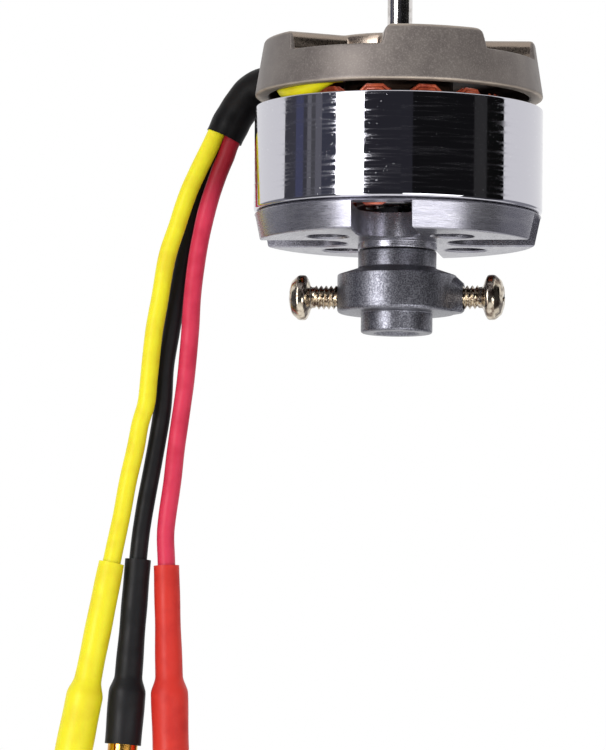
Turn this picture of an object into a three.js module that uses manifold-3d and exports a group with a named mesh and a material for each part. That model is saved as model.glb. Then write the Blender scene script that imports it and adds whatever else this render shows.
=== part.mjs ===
// Brushless outrunner motor: a 23 mm can on a 2 mm shaft, with a four-lug mount at one end, a prop
// saver collar with two screws at the other, and three leads that end in bullet connectors.
//
// Millimetres, +Z up. The origin is on the shaft's axis, in the plane of the four lug tops, which is
// the face that goes against the frame. The propeller end points down. A bearing is an angle in
// degrees about the axis, measured from the front (-Y) towards the right (+X).

import * as THREE from "three";
import { mergeVertices } from "three/addons/utils/BufferGeometryUtils.js";
import Module from "manifold-3d";

const wasm = await Module();
wasm.setup();

// ---- Driving dimensions ------------------------------------------------------------------------

const FACETS = { large: 48, small: 24, fine: 16, lead: 8, sleeve: 10 };
const FIT = 0.05; // gap between turned parts that sit one in the other
const FACE_GAP = 0.3; // gap between a lead and the sleeve that it butts against

const CAN = { radius: 11.5, wall: 0.8, top: -5.15, bottom: -13.72, chamfer: 0.3 };

const SHAFT = { radius: 1, top: 10, bottom: -22.9, chamfer: 0.15 };

const MOUNT = {
  topRadius: 10.8,
  rimRadius: 11.5,
  rimHeight: -4.35,
  edge: 0.12, // chamfer under the rim
  skirtInner: 10.4,
  notchFloor: -1.6,
  plateBottom: -2.7,
  hubRadius: 6.1,
  bossRadius: 4.3,
  bossBottom: -4.3,
  shaftOpening: 2.3,
  tubeLedge: -0.9,
  lean: 1.7, // degrees that a lug narrows on each side between its foot and its top
};
// Half widths in degrees: a lug is measured at the rim, and again where it meets the hub.
const NARROW_LUG = { rimHalf: 22.35, hubHalf: 31.8 };
const WIDE_LUG = { rimHalf: 26, hubHalf: 36 };
const LUGS = [
  { bearing: 14.65, ...NARROW_LUG },
  { bearing: 101.5, ...WIDE_LUG },
  { bearing: 194.65, ...NARROW_LUG },
  { bearing: 281.5, ...WIDE_LUG },
];
const MOUNT_SCREWS = { circle: 8, radius: 0.8, firstBearing: LUGS[0].bearing };
const COOLING_WINDOW = { inner: 6.9, outer: 9.7, half: 12 };
const LEAD_CHANNEL = { bearing: -122.8, width: 3.6, inner: 8.2 };

const TUBE = { inner: 2.5, outer: 3.3, top: -1, bottom: -13.3 };
const BEARING = { height: 2.5, outer: 2.5, outerWall: 0.45, inner: 1.5, shield: 0.15, shieldBore: 1.6 };
const BALLS = { count: 7, circle: 1.775, radius: 0.24, cageWall: 0.12, cageHeight: 0.5 };
const BEARING_TOPS = { upper: -1.7, lower: -10.7 };
const WASHER = { outer: 1.9, top: -1.42, thickness: 0.2 };
const CLIP = { outer: 1.9, top: -1.05, thickness: 0.3, opening: 60 };

const STATOR = {
  top: -6.1,
  height: 6,
  bore: 3.35,
  hub: 4.3,
  toothWidth: 1.5,
  tipInner: 8.2,
  radius: 9,
  teeth: 12,
  tipHalf: 13,
  firstTooth: 15, // bearing
};
const COIL = { inner: 4.9, outer: 8, gap: 0.12, endTurn: 1.65, innerHalf: 1.12, outerHalf: 1.95, round: 0.25 };

const MAGNET = { count: 14, inner: 9.25, top: -5.8, height: 6.6, half: 11.6 };

const BELL = {
  radius: 11.42,
  faceRadius: 10.98,
  edge: 0.18,
  floorTop: -14.1,
  face: -16.1,
  seam: -13.76,
  spigotTop: -12.7,
  spigotInner: 9.9,
  bossRadius: 3.15,
  bossBottom: -16.7,
  spacerRadius: 1.5,
  spacerTop: -13.3,
  spacerFoot: 2.6,
};
const ROTOR_BEARING = -7.6; // where the first bell slot and the two collar screws are clocked from
const SLOT = { width: 4.8, innerRadius: 4, top: -13.95, count: 4 };
const BELL_HOLE = { circle: 7, radius: 1.65 };

const SAVER = {
  top: -16.78,
  neckRadius: 3.12,
  shoulderTop: -18.15,
  shoulderBottom: -18.7,
  collarRadius: 4.75,
  collarBottom: -21.7,
  collarEdge: 0.25,
  noseRadius: 2.85,
  noseBottom: -23.3,
  noseEdge: 0.2,
  mouthRadius: 1.9,
  mouthTop: -22.6,
};
const SCREW = {
  height: -20.42,
  threadRadius: 0.95,
  holeRadius: 1.02,
  tip: 1.25,
  headInner: 7.1,
  headOuter: 8.58,
  headRadius: 1.8,
};
const SCREW_BOSS = { from: 4.2, to: 5.35, fromRadius: 2.15, toRadius: 1.12, trim: 0.05 };

const LEAD_RADIUS = 0.72;
const BUNDLE_RADIUS = 1.5;
// The sleeve widens over its connector between two shares of its length, and its socket starts there.
const SHRINK = { thin: 1.03, wide: 1.5, widenFrom: 0.56, widenTo: 0.68, socket: 1.25, socketFrom: 0.66 };
const BULLET = { radius: 1.2, bore: 0.95, proud: 1.9, boreDepth: 5 };

// Routes: points along the middle of each lead, from the motor outwards.
const BUNDLE_ROUTE = [
  [-7.5, 4.83, -3.3], [-8.7, 5.6, -3], [-9.9, 6.3, -2.7], [-10.95, 6.85, -2.65],
  [-11.85, 7.2, -3.15], [-12.6, 7.35, -4.15], [-13.35, 7.4, -5.35], [-14.02, 7.4, -6.78],
];
const LEADS = {
  yellow: {
    color: 0xf7ee32,
    tail: [
      [-8.03, 3.33, -3.6], [-8.6, 1.7, -3.6], [-8.9, 0, -3.65], [-9.1, -1.8, -3.9], [-8.9, -3.4, -4.35],
      [-8.2, -4.8, -4.65], [-7.2, -5.9, -4.5], [-6.2, -6.65, -3.95], [-5.4, -6.85, -3.55], [-4.6, -6.85, -3.45],
    ],
    route: [
      [-14.8, 6.98, -6.82], [-15.02, 6.85, -7.35], [-15.57, 6.7, -8.54], [-16.2, 6.6, -9.9],
      [-16.78, 6.6, -11.25], [-17.28, 6.6, -12.7], [-17.73, 6.6, -14.19], [-18.5, 6.6, -16.72], [-19.04, 6.6, -20.14],
      [-19.47, 6.6, -22.83], [-19.79, 6.6, -26.23], [-19.99, 6.6, -28.5], [-20.46, 6.6, -30.21],
      [-20.81, 6.6, -32.23], [-21.39, 6.6, -34.91], [-21.85, 6.6, -37.66], [-22.6, 6.6, -41.45],
    ],
    connectorEnd: [-25.65, 6.6, -57.8],
  },
  black: {
    color: 0x1e1e22,
    tail: [[-7.19, 4.63, -3.6], [-6.6, 4.25, -3.57], [-6, 3.87, -3.55], [-5.3, 3.42, -3.55]],
    route: [
      [-14.18, 8.2, -7.15], [-14.42, 8.3, -7.8], [-14.9, 8.4, -8.9], [-15.4, 8.4, -10.2], [-15.9, 8.4, -11.5],
      [-16.6, 8.4, -14.2], [-17.27, 8.35, -17.1], [-17.67, 8.1, -19.63], [-18.12, 7.9, -22.72],
      [-18.52, 7.8, -25.41], [-18.66, 7.8, -28.17], [-18.88, 7.8, -30.12], [-19.43, 7.7, -33.52],
      [-20.11, 7.6, -37.58], [-20.5, 7.6, -41.1],
    ],
    connectorEnd: [-21.5, 7.6, -56],
  },
  red: {
    color: 0xe8425c,
    tail: [[-6.35, 5.94, -3.6], [-5.75, 6.35, -3.57], [-5.1, 6.65, -3.55], [-4.3, 6.85, -3.55]],
    route: [
      [-13.55, 7, -7.45], [-13.87, 7, -8.4], [-14.4, 7, -9.75], [-15.05, 7, -11.76], [-15.55, 7, -13.76],
      [-16.05, 7, -16.53], [-16.4, 7, -19.7], [-16.56, 7, -22.79], [-16.82, 7, -26.2], [-17.05, 7, -28.22],
      [-17.56, 7, -32.19], [-17.82, 7, -34.86], [-18.18, 7, -37.61], [-18.3, 7, -39.3], [-18.19, 7, -41.6],
    ],
    connectorEnd: [-17.6, 7, -57.2],
  },
};

// ---- Finishes: colour, roughness, metalness ----------------------------------------------------

const FINISH = {
  mount: [0x8a827f, 0.55, 0.7],
  chrome: [0xd8dade, 0.08, 1],
  gunmetal: [0x74757e, 0.3, 0.9],
  steel: [0xc8c9cc, 0.2, 1],
  nickel: [0xc8b48c, 0.25, 1],
  brass: [0xd9a441, 0.3, 1],
  bearing: [0xa9abb0, 0.25, 1],
  magnet: [0x9a9ca0, 0.35, 0.8],
  lamination: [0x2f4a3c, 0.6, 0.3],
  copper: [0xb5563c, 0.35, 0.8],
  blackSleeve: [0x1c1c1f, 0.5, 0],
};

const motor = new THREE.Group();

function add(name, geometry, finish) {
  const [color, roughness, metalness] = finish;
  const mesh = new THREE.Mesh(geometry, new THREE.MeshStandardMaterial({ color, roughness, metalness }));
  mesh.name = name;
  motor.add(mesh);
  return mesh;
}

// ---- Geometry helpers --------------------------------------------------------------------------

function atBearing(radius, bearing, z = 0) {
  const angle = THREE.MathUtils.degToRad(bearing);
  return new THREE.Vector3(radius * Math.sin(angle), -radius * Math.cos(angle), z);
}

function flat(point) {
  return new THREE.Vector2(point.x, point.y);
}

// Points of a plan outline along an arc about the axis, both ends included.
function arc(radius, from, to, steps) {
  const points = [];
  for (let step = 0; step <= steps; step += 1) {
    points.push(flat(atBearing(radius, from + ((to - from) * step) / steps)));
  }
  return points;
}

function signedVolume(positions, triangles) {
  const corner = (index) => new THREE.Vector3().fromArray(positions, 3 * index);
  let volume = 0;
  for (let start = 0; start < triangles.length; start += 3) {
    const [a, b, c] = triangles.slice(start, start + 3).map(corner);
    volume += a.dot(b.cross(c)) / 6;
  }
  return volume;
}

// A closed three.js surface as a solid, with its faces turned outwards.
function toSolid(geometry) {
  const bare = geometry.clone();
  bare.deleteAttribute("normal");
  bare.deleteAttribute("uv");
  const merged = mergeVertices(bare);
  const index = Array.from(merged.index.array);
  const triangles = [];
  for (let start = 0; start < index.length; start += 3) {
    const [a, b, c] = index.slice(start, start + 3);
    if (a !== b && b !== c && c !== a) triangles.push(a, b, c);
  }
  const positions = merged.attributes.position.array;
  if (signedVolume(positions, triangles) < 0) triangles.reverse();
  const mesh = new wasm.Mesh({
    numProp: 3,
    vertProperties: positions,
    triVerts: new Uint32Array(triangles),
  });
  return new wasm.Manifold(mesh);
}

function toGeometry(solid) {
  const mesh = solid.getMesh();
  const geometry = new THREE.BufferGeometry();
  geometry.setAttribute("position", new THREE.BufferAttribute(new Float32Array(mesh.vertProperties), 3));
  geometry.setIndex(Array.from(mesh.triVerts));
  geometry.computeVertexNormals();
  return geometry;
}

// A turned solid about Z from [radius, z] points. A hollow one closes its profile on itself.
function turned(profile, facets, hollow = true) {
  const points = profile.map(([radius, z]) => new THREE.Vector2(radius, z));
  if (hollow) points.push(points[0].clone());
  return toSolid(new THREE.LatheGeometry(points, facets).rotateX(Math.PI / 2));
}

function ring(inner, outer, bottom, top, facets) {
  return turned([[inner, bottom], [outer, bottom], [outer, top], [inner, top]], facets);
}

function extruded(outline, bottom, top, hole = null) {
  const shape = new THREE.Shape(outline);
  if (hole) shape.holes.push(new THREE.Path(hole));
  const geometry = new THREE.ExtrudeGeometry(shape, { depth: top - bottom, bevelEnabled: false });
  return toSolid(geometry.translate(0, 0, bottom));
}

// A block whose plan outline changes evenly between two heights.
function tapered(lower, upper, bottom, top) {
  if (THREE.ShapeUtils.isClockWise(lower)) {
    return tapered([...lower].reverse(), [...upper].reverse(), bottom, top);
  }
  const count = lower.length;
  const positions = [];
  for (const point of lower) positions.push(point.x, point.y, bottom);
  for (const point of upper) positions.push(point.x, point.y, top);
  const triangles = [];
  for (let here = 0; here < count; here += 1) {
    const next = (here + 1) % count;
    triangles.push(here, next, count + next, here, count + next, count + here);
  }
  for (const [a, b, c] of THREE.ShapeUtils.triangulateShape(lower, [])) {
    triangles.push(c, b, a, count + a, count + b, count + c);
  }
  const geometry = new THREE.BufferGeometry();
  geometry.setAttribute("position", new THREE.Float32BufferAttribute(positions, 3));
  geometry.setIndex(triangles);
  return toSolid(geometry);
}

function box(sizeX, sizeY, sizeZ, centre) {
  return toSolid(new THREE.BoxGeometry(sizeX, sizeY, sizeZ).translate(...centre));
}

function rod(radius, bottom, top, centre, facets) {
  const geometry = new THREE.CylinderGeometry(radius, radius, top - bottom, facets);
  return toSolid(geometry.rotateX(Math.PI / 2).translate(centre.x, centre.y, (bottom + top) / 2));
}

function tube(route, radius, facets, steps) {
  const path = new THREE.CatmullRomCurve3(route.map((point) => new THREE.Vector3(...point)));
  const section = new THREE.Shape(arc(radius, 0, 360 - 360 / facets, facets - 1));
  return toSolid(new THREE.ExtrudeGeometry(section, { extrudePath: path, steps }));
}

// Turns a solid made along Z so that it points along a bearing, lying flat at a height.
function layAlong(solid, bearing, height) {
  const geometry = toGeometry(solid);
  geometry.rotateX(Math.PI / 2).rotateZ(THREE.MathUtils.degToRad(bearing));
  return toSolid(geometry.translate(0, 0, height));
}

// ---- Mount, tube and bearings ------------------------------------------------------------------

// The notch between two lugs, as an outline that reaches past the rim.
function notchOutline(lug, nextLug, lean) {
  const pastRim = 1.4;
  const side = (which, sign) => {
    const hub = atBearing(MOUNT.hubRadius, which.bearing + sign * (which.hubHalf - lean));
    const rim = atBearing(MOUNT.rimRadius, which.bearing + sign * (which.rimHalf - lean));
    return flat(hub.clone().lerp(rim, pastRim));
  };
  const from = lug.bearing + lug.hubHalf - lean;
  const to = nextLug.bearing - nextLug.hubHalf + lean;
  return [side(lug, 1), ...arc(MOUNT.hubRadius, from, to, 4), side(nextLug, -1)];
}

function mountBody() {
  const above = 0.4;
  const rimBottom = MOUNT.rimHeight - MOUNT.edge;
  let body = turned([
    [TUBE.outer + FIT, MOUNT.bossBottom],
    [MOUNT.bossRadius, MOUNT.bossBottom],
    [MOUNT.bossRadius, MOUNT.plateBottom],
    [MOUNT.skirtInner, MOUNT.plateBottom],
    [MOUNT.skirtInner, rimBottom],
    [MOUNT.rimRadius - MOUNT.edge, rimBottom],
    [MOUNT.rimRadius, MOUNT.rimHeight],
    [MOUNT.topRadius, 0],
    [MOUNT.shaftOpening, 0],
    [MOUNT.shaftOpening, MOUNT.tubeLedge],
    [TUBE.outer + FIT, MOUNT.tubeLedge],
  ], FACETS.large);
  LUGS.forEach((lug, place) => {
    const after = LUGS[(place + 1) % LUGS.length];
    const turnsOver = place + 1 === LUGS.length ? 360 : 0;
    const nextLug = { ...after, bearing: after.bearing + turnsOver };
    const topLean = (MOUNT.lean * (above - MOUNT.notchFloor)) / -MOUNT.notchFloor;
    const foot = notchOutline(lug, nextLug, 0);
    const top = notchOutline(lug, nextLug, topLean);
    body = body.subtract(tapered(foot, top, MOUNT.notchFloor, above));
    const middle = (lug.bearing + nextLug.bearing) / 2;
    const holdsLeads = Math.abs(middle - 360 - LEAD_CHANNEL.bearing) < COOLING_WINDOW.half;
    if (!holdsLeads) body = body.subtract(coolingWindow(middle));
    const screwAt = atBearing(MOUNT_SCREWS.circle, MOUNT_SCREWS.firstBearing + 90 * place);
    body = body.subtract(rod(MOUNT_SCREWS.radius, MOUNT.plateBottom - 1, above, screwAt, FACETS.fine));
  });
  return body.subtract(leadChannel());
}

function coolingWindow(middle) {
  const { inner, outer, half } = COOLING_WINDOW;
  const innerEdge = arc(inner, middle - half, middle + half, 4);
  const outerEdge = arc(outer, middle + half, middle - half, 6);
  return extruded([...innerEdge, ...outerEdge], MOUNT.plateBottom - 1, 0);
}

function leadChannel() {
  const length = MOUNT.rimRadius + 1 - LEAD_CHANNEL.inner;
  const height = 2 - MOUNT.rimHeight;
  const channel = box(LEAD_CHANNEL.width, length, height, [0, -LEAD_CHANNEL.inner - length / 2, -height / 2]);
  const turn = THREE.MathUtils.degToRad(LEAD_CHANNEL.bearing);
  return toSolid(toGeometry(channel).rotateZ(turn));
}

// A shielded ball bearing in three pieces that turn on their own.
function addBearing(name, top) {
  const bottom = top - BEARING.height;
  const race = BEARING.outer - BEARING.outerWall;
  const outerRing = turned([
    [BEARING.shieldBore, bottom],
    [BEARING.outer - FIT, bottom],
    [BEARING.outer - FIT, top],
    [BEARING.shieldBore, top],
    [BEARING.shieldBore, top - BEARING.shield],
    [race, top - BEARING.shield],
    [race, bottom + BEARING.shield],
    [BEARING.shieldBore, bottom + BEARING.shield],
  ], FACETS.fine);
  add(`${name}_bearing_outer_ring`, toGeometry(outerRing), FINISH.bearing);
  const innerRing = ring(SHAFT.radius + FIT, BEARING.inner, bottom, top, FACETS.fine);
  add(`${name}_bearing_inner_ring`, toGeometry(innerRing), FINISH.bearing);
  add(`${name}_bearing_balls`, toGeometry(cagedBalls((top + bottom) / 2)), FINISH.steel);
}

function cagedBalls(height) {
  const { circle, cageWall, cageHeight, count, radius } = BALLS;
  const half = cageHeight / 2;
  let cage = ring(circle - cageWall, circle + cageWall, height - half, height + half, FACETS.fine);
  for (let ball = 0; ball < count; ball += 1) {
    const centre = atBearing(circle, (360 * ball) / count, height);
    const sphere = new THREE.SphereGeometry(radius, 6, 4).translate(centre.x, centre.y, centre.z);
    cage = cage.add(toSolid(sphere));
  }
  return cage;
}

// An open spring clip in its groove above the washer that takes the end load.
function shaftClip() {
  const from = CLIP.opening / 2;
  const to = 360 - from;
  const outline = [...arc(CLIP.outer, from, to, 20), ...arc(SHAFT.radius + FIT, to, from, 20)];
  return extruded(outline, CLIP.top - CLIP.thickness, CLIP.top);
}

// ---- Stator ------------------------------------------------------------------------------------

function statorCore() {
  const { hub, toothWidth, tipInner, radius, teeth, tipHalf, firstTooth, bore, top, height } = STATOR;
  const outline = [];
  const half = toothWidth / 2;
  for (let tooth = 0; tooth < teeth; tooth += 1) {
    const bearing = firstTooth + (360 * tooth) / teeth;
    const corner = (distance) => THREE.MathUtils.radToDeg(Math.asin(half / distance));
    outline.push(flat(atBearing(hub, bearing - corner(hub))));
    outline.push(flat(atBearing(tipInner, bearing - corner(tipInner))));
    outline.push(...arc(radius, bearing - tipHalf, bearing + tipHalf, 4));
    outline.push(flat(atBearing(tipInner, bearing + corner(tipInner))));
    outline.push(flat(atBearing(hub, bearing + corner(hub))));
  }
  return extruded(outline, top - height, top, arc(bore, 0, 360 - 15, FACETS.small - 1));
}

// One winding: a wedge of wire around its tooth, with rounded end turns.
function coil(bearing) {
  const { inner, outer, innerHalf, outerHalf, endTurn, gap, round } = COIL;
  const outline = [[-innerHalf, -inner], [innerHalf, -inner], [outerHalf, -outer], [-outerHalf, -outer]];
  const inset = outline.map(([x, y]) => {
    const towardsMiddle = y === -inner ? -round : round;
    return new THREE.Vector2(x - Math.sign(x) * round, y + towardsMiddle);
  });
  const full = outline.map(([x, y]) => new THREE.Vector2(x, y));
  const top = STATOR.top + endTurn;
  const bottom = STATOR.top - STATOR.height - endTurn;
  const wound = tapered(full, full, bottom + round, top - round)
    .add(tapered(full, inset, top - round, top))
    .add(tapered(inset, full, bottom, bottom + round));
  const tooth = box(
    STATOR.toothWidth + 2 * gap,
    outer,
    STATOR.height + 2 * gap,
    [0, -outer, STATOR.top - STATOR.height / 2],
  );
  return toGeometry(wound.subtract(tooth)).rotateZ(THREE.MathUtils.degToRad(bearing));
}

// ---- Rotor -------------------------------------------------------------------------------------

function fluxRing() {
  const { radius, wall, top, bottom, chamfer } = CAN;
  return turned([
    [radius - wall, bottom],
    [radius - chamfer, bottom],
    [radius, bottom + chamfer],
    [radius, top - chamfer],
    [radius - chamfer, top],
    [radius - wall, top],
  ], FACETS.large);
}

function magnet(bearing) {
  const { inner, half, top, height } = MAGNET;
  const outer = CAN.radius - CAN.wall - FIT;
  const outerFace = arc(outer, bearing - half, bearing + half, 4);
  const innerFace = arc(inner, bearing + half, bearing - half, 4);
  return extruded([...outerFace, ...innerFace], top - height, top);
}

function endBell() {
  const bore = SHAFT.radius + FIT;
  const spigot = CAN.radius - CAN.wall - FIT;
  let bell = turned([
    [bore, BELL.bossBottom],
    [BELL.bossRadius, BELL.bossBottom],
    [BELL.bossRadius, BELL.face],
    [BELL.faceRadius - BELL.edge, BELL.face],
    [BELL.faceRadius, BELL.face + BELL.edge],
    [BELL.radius, SLOT.top],
    [CAN.radius - CAN.chamfer, BELL.seam],
    [spigot, BELL.seam],
    [spigot, BELL.spigotTop],
    [BELL.spigotInner, BELL.spigotTop],
    [BELL.spigotInner, BELL.floorTop],
    [BELL.spacerFoot, BELL.floorTop],
    [BELL.spacerRadius, BELL.spacerTop],
    [bore, BELL.spacerTop],
  ], FACETS.large);
  for (let place = 0; place < SLOT.count; place += 1) {
    const bearing = ROTOR_BEARING + (360 * place) / SLOT.count;
    bell = bell.subtract(bellSlot(bearing));
    const holeAt = atBearing(BELL_HOLE.circle, bearing + 180 / SLOT.count);
    bell = bell.subtract(rod(BELL_HOLE.radius, BELL.face - 1, BELL.floorTop + 1, holeAt, FACETS.fine));
  }
  return bell;
}

// A straight slot that runs in from the rim to a full-round end near the hub.
function bellSlot(bearing) {
  const half = SLOT.width / 2;
  const endCentre = -SLOT.innerRadius - half;
  const outline = [new THREE.Vector2(-half, -CAN.radius - 1), new THREE.Vector2(half, -CAN.radius - 1)];
  const steps = 8;
  for (let step = 0; step <= steps; step += 1) {
    const angle = (Math.PI * step) / steps;
    outline.push(new THREE.Vector2(half * Math.cos(angle), endCentre + half * Math.sin(angle)));
  }
  const slot = toGeometry(extruded(outline, BELL.face - 1, SLOT.top));
  return toSolid(slot.rotateZ(THREE.MathUtils.degToRad(bearing)));
}

function propSaver() {
  const bore = SHAFT.radius + FIT;
  const body = turned([
    [bore, SAVER.mouthTop],
    [SAVER.mouthRadius, SAVER.noseBottom],
    [SAVER.noseRadius - SAVER.noseEdge, SAVER.noseBottom],
    [SAVER.noseRadius, SAVER.noseBottom + SAVER.noseEdge],
    [SAVER.noseRadius, SAVER.collarBottom],
    [SAVER.collarRadius - SAVER.collarEdge, SAVER.collarBottom],
    [SAVER.collarRadius, SAVER.collarBottom + SAVER.collarEdge],
    [SAVER.collarRadius, SAVER.shoulderBottom],
    [SAVER.neckRadius, SAVER.shoulderTop],
    [SAVER.neckRadius, SAVER.top],
    [bore, SAVER.top],
  ], FACETS.small);
  const right = ROTOR_BEARING + 90;
  const boss = turned([
    [0, SCREW_BOSS.from],
    [SCREW_BOSS.fromRadius, SCREW_BOSS.from],
    [SCREW_BOSS.toRadius, SCREW_BOSS.to],
    [0, SCREW_BOSS.to],
  ], FACETS.fine, false);
  // The boss is no taller than the collar that it stands on.
  const slabBottom = SAVER.collarBottom + SCREW_BOSS.trim;
  const slabTop = SAVER.shoulderBottom - SCREW_BOSS.trim;
  const slab = rod(CAN.radius, slabBottom, slabTop, new THREE.Vector3(), FACETS.small);
  const drill = rod(SCREW.holeRadius, 0, CAN.radius, new THREE.Vector3(), FACETS.fine);
  return body
    .add(layAlong(boss, right, SCREW.height).intersect(slab))
    .subtract(layAlong(drill, right, SCREW.height))
    .subtract(layAlong(drill, right + 180, SCREW.height));
}

// A pan-head screw with its tip just clear of the shaft.
function collarScrew(bearing) {
  const { tip, threadRadius, headInner, headOuter, headRadius } = SCREW;
  const lead = 0.2;
  const screw = turned([
    [0, tip],
    [threadRadius - lead, tip],
    [threadRadius, tip + lead],
    [threadRadius, headInner],
    [headRadius, headInner],
    [headRadius, headInner + 0.45],
    [headRadius - 0.25, headOuter - 0.4],
    [headRadius - 0.8, headOuter - 0.1],
    [0, headOuter],
  ], FACETS.fine, false);
  return layAlong(screw, bearing, SCREW.height);
}

function shaft() {
  const { radius, top, bottom, chamfer } = SHAFT;
  return turned([
    [0, bottom],
    [radius - chamfer, bottom],
    [radius, bottom + chamfer],
    [radius, top - chamfer],
    [radius - chamfer, top],
    [0, top],
  ], FACETS.small, false);
}

// ---- Leads and connectors ----------------------------------------------------------------------

// Places a solid turned about Z so that it starts at one point and runs towards another.
function placeAlong(solid, start, end) {
  const direction = end.clone().sub(start).normalize();
  const turn = new THREE.Quaternion().setFromUnitVectors(new THREE.Vector3(0, 0, 1), direction);
  return toGeometry(solid).applyQuaternion(turn).translate(start.x, start.y, start.z);
}

function shrinkSleeve(length) {
  const floor = length * SHRINK.socketFrom;
  return turned([
    [0, 0],
    [SHRINK.thin, 0],
    [SHRINK.thin, length * SHRINK.widenFrom],
    [SHRINK.wide, length * SHRINK.widenTo],
    [SHRINK.wide, length],
    [SHRINK.socket, length],
    [SHRINK.socket, floor],
    [0, floor],
  ], FACETS.fine, false);
}

function bullet(length) {
  const { radius, bore, boreDepth } = BULLET;
  const edge = 0.12;
  return turned([
    [0, 0],
    [radius, 0],
    [radius, length - edge],
    [radius - edge, length],
    [bore, length],
    [bore, length - boreDepth],
    [0, length - boreDepth],
  ], FACETS.fine, false);
}

function addLead(name, lead) {
  const finish = [lead.color, 0.45, 0];
  const tail = tube(lead.tail, LEAD_RADIUS, FACETS.lead, 2 * lead.tail.length);
  add(`winding_tail_${name}`, toGeometry(tail), finish);
  add(`lead_${name}`, toGeometry(tube(lead.route, LEAD_RADIUS, FACETS.lead, 16)), finish);
  const leadEnd = new THREE.Vector3(...lead.route.at(-1));
  const sleeveEnd = new THREE.Vector3(...lead.connectorEnd);
  const direction = sleeveEnd.clone().sub(leadEnd).normalize();
  const sleeveStart = leadEnd.clone().addScaledVector(direction, FACE_GAP);
  const length = sleeveStart.distanceTo(sleeveEnd);
  add(`connector_sleeve_${name}`, placeAlong(shrinkSleeve(length), sleeveStart, sleeveEnd), finish);
  const inSocket = length * (1 - SHRINK.socketFrom) - FACE_GAP;
  const bulletStart = sleeveEnd.clone().addScaledVector(direction, -inSocket);
  const connector = placeAlong(bullet(inSocket + BULLET.proud), bulletStart, sleeveEnd);
  add(`bullet_connector_${name}`, connector, FINISH.brass);
}

// ---- Assembly ----------------------------------------------------------------------------------

add("motor_mount", toGeometry(mountBody()), FINISH.mount);
const bearingTube = ring(TUBE.inner, TUBE.outer, TUBE.bottom, TUBE.top, FACETS.small);
add("bearing_tube", toGeometry(bearingTube), FINISH.steel);
for (const [name, top] of Object.entries(BEARING_TOPS)) addBearing(name, top);

add("stator_core", toGeometry(statorCore()), FINISH.lamination);
for (let tooth = 0; tooth < STATOR.teeth; tooth += 1) {
  const number = String(tooth + 1).padStart(2, "0");
  add(`coil_${number}`, coil(STATOR.firstTooth + (360 * tooth) / STATOR.teeth), FINISH.copper);
}

add("flux_ring", toGeometry(fluxRing()), FINISH.chrome);
for (let pole = 0; pole < MAGNET.count; pole += 1) {
  const number = String(pole + 1).padStart(2, "0");
  add(`magnet_${number}`, toGeometry(magnet(ROTOR_BEARING + (360 * pole) / MAGNET.count)), FINISH.magnet);
}
add("end_bell", toGeometry(endBell()), FINISH.gunmetal);
add("prop_saver", toGeometry(propSaver()), FINISH.gunmetal);
add("collar_screw_right", toGeometry(collarScrew(ROTOR_BEARING + 90)), FINISH.nickel);
add("collar_screw_left", toGeometry(collarScrew(ROTOR_BEARING - 90)), FINISH.nickel);
add("shaft", toGeometry(shaft()), FINISH.steel);
add("shaft_clip", toGeometry(shaftClip()), FINISH.steel);
const washerBottom = WASHER.top - WASHER.thickness;
const washer = ring(SHAFT.radius + FIT, WASHER.outer, washerBottom, WASHER.top, FACETS.small);
add("shaft_washer", toGeometry(washer), FINISH.steel);

add("lead_bundle_sleeve", toGeometry(tube(BUNDLE_ROUTE, BUNDLE_RADIUS, FACETS.sleeve, 10)), FINISH.blackSleeve);
for (const [name, lead] of Object.entries(LEADS)) addLead(name, lead);

export default motor;
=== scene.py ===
"""Looks for a brushless outrunner motor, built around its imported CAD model.

Shapes are worked out in millimetres, in the CAD model's frame, and scaled to metres when a piece is
finished. The motor's axis is Z and the propeller end points down. A bearing is an angle in degrees
about that axis, from the front (-Y) towards the right (+X).
"""

import math
import random
from types import SimpleNamespace as Sizes

import bmesh
import bpy
from mathutils import Matrix, Vector, noise
from mathutils.geometry import tessellate_polygon


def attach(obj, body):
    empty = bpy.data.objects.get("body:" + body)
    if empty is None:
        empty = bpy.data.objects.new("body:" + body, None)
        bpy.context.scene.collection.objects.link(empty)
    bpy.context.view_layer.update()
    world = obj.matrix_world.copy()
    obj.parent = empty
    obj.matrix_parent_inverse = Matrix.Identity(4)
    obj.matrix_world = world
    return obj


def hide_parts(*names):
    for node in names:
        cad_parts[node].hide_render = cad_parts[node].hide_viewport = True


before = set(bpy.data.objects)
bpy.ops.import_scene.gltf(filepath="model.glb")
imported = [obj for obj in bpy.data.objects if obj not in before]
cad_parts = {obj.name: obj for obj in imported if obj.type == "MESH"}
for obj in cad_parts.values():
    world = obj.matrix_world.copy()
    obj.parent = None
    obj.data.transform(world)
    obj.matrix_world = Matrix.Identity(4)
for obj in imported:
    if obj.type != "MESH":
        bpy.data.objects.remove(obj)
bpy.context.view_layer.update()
MM = 0.001  # one millimetre in metres


def add_object(name, data):
    thing = bpy.data.objects.new(name, data)
    bpy.context.scene.collection.objects.link(thing)
    return thing


# ---- Camera ----

VIEW = Sizes(
    aim=(-0.007395, 0.001333, -0.02658),  # between the motor and the ends of its leads
    distance=0.45,
    elevation=5.15,  # degrees that the camera looks up
    roll=0.71,
    lens=271,
    sensor=36,
    clip=(0.01, 10),  # metres
)


def make_camera():
    data = bpy.data.cameras.new("camera")
    data.lens = VIEW.lens
    data.sensor_width = VIEW.sensor
    data.clip_start, data.clip_end = VIEW.clip
    camera = add_object("camera", data)
    tilt = math.radians(VIEW.elevation)
    sight = Vector((0, math.cos(tilt), math.sin(tilt)))
    turn = Matrix.Rotation(math.radians(90) + tilt, 4, "X")
    turn = turn @ Matrix.Rotation(math.radians(VIEW.roll), 4, "Z")
    camera.matrix_world = Matrix.Translation(Vector(VIEW.aim) - sight * VIEW.distance) @ turn
    bpy.context.scene.camera = camera


# ---- Cord routes, in metres, as in the CAD model ----

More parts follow.
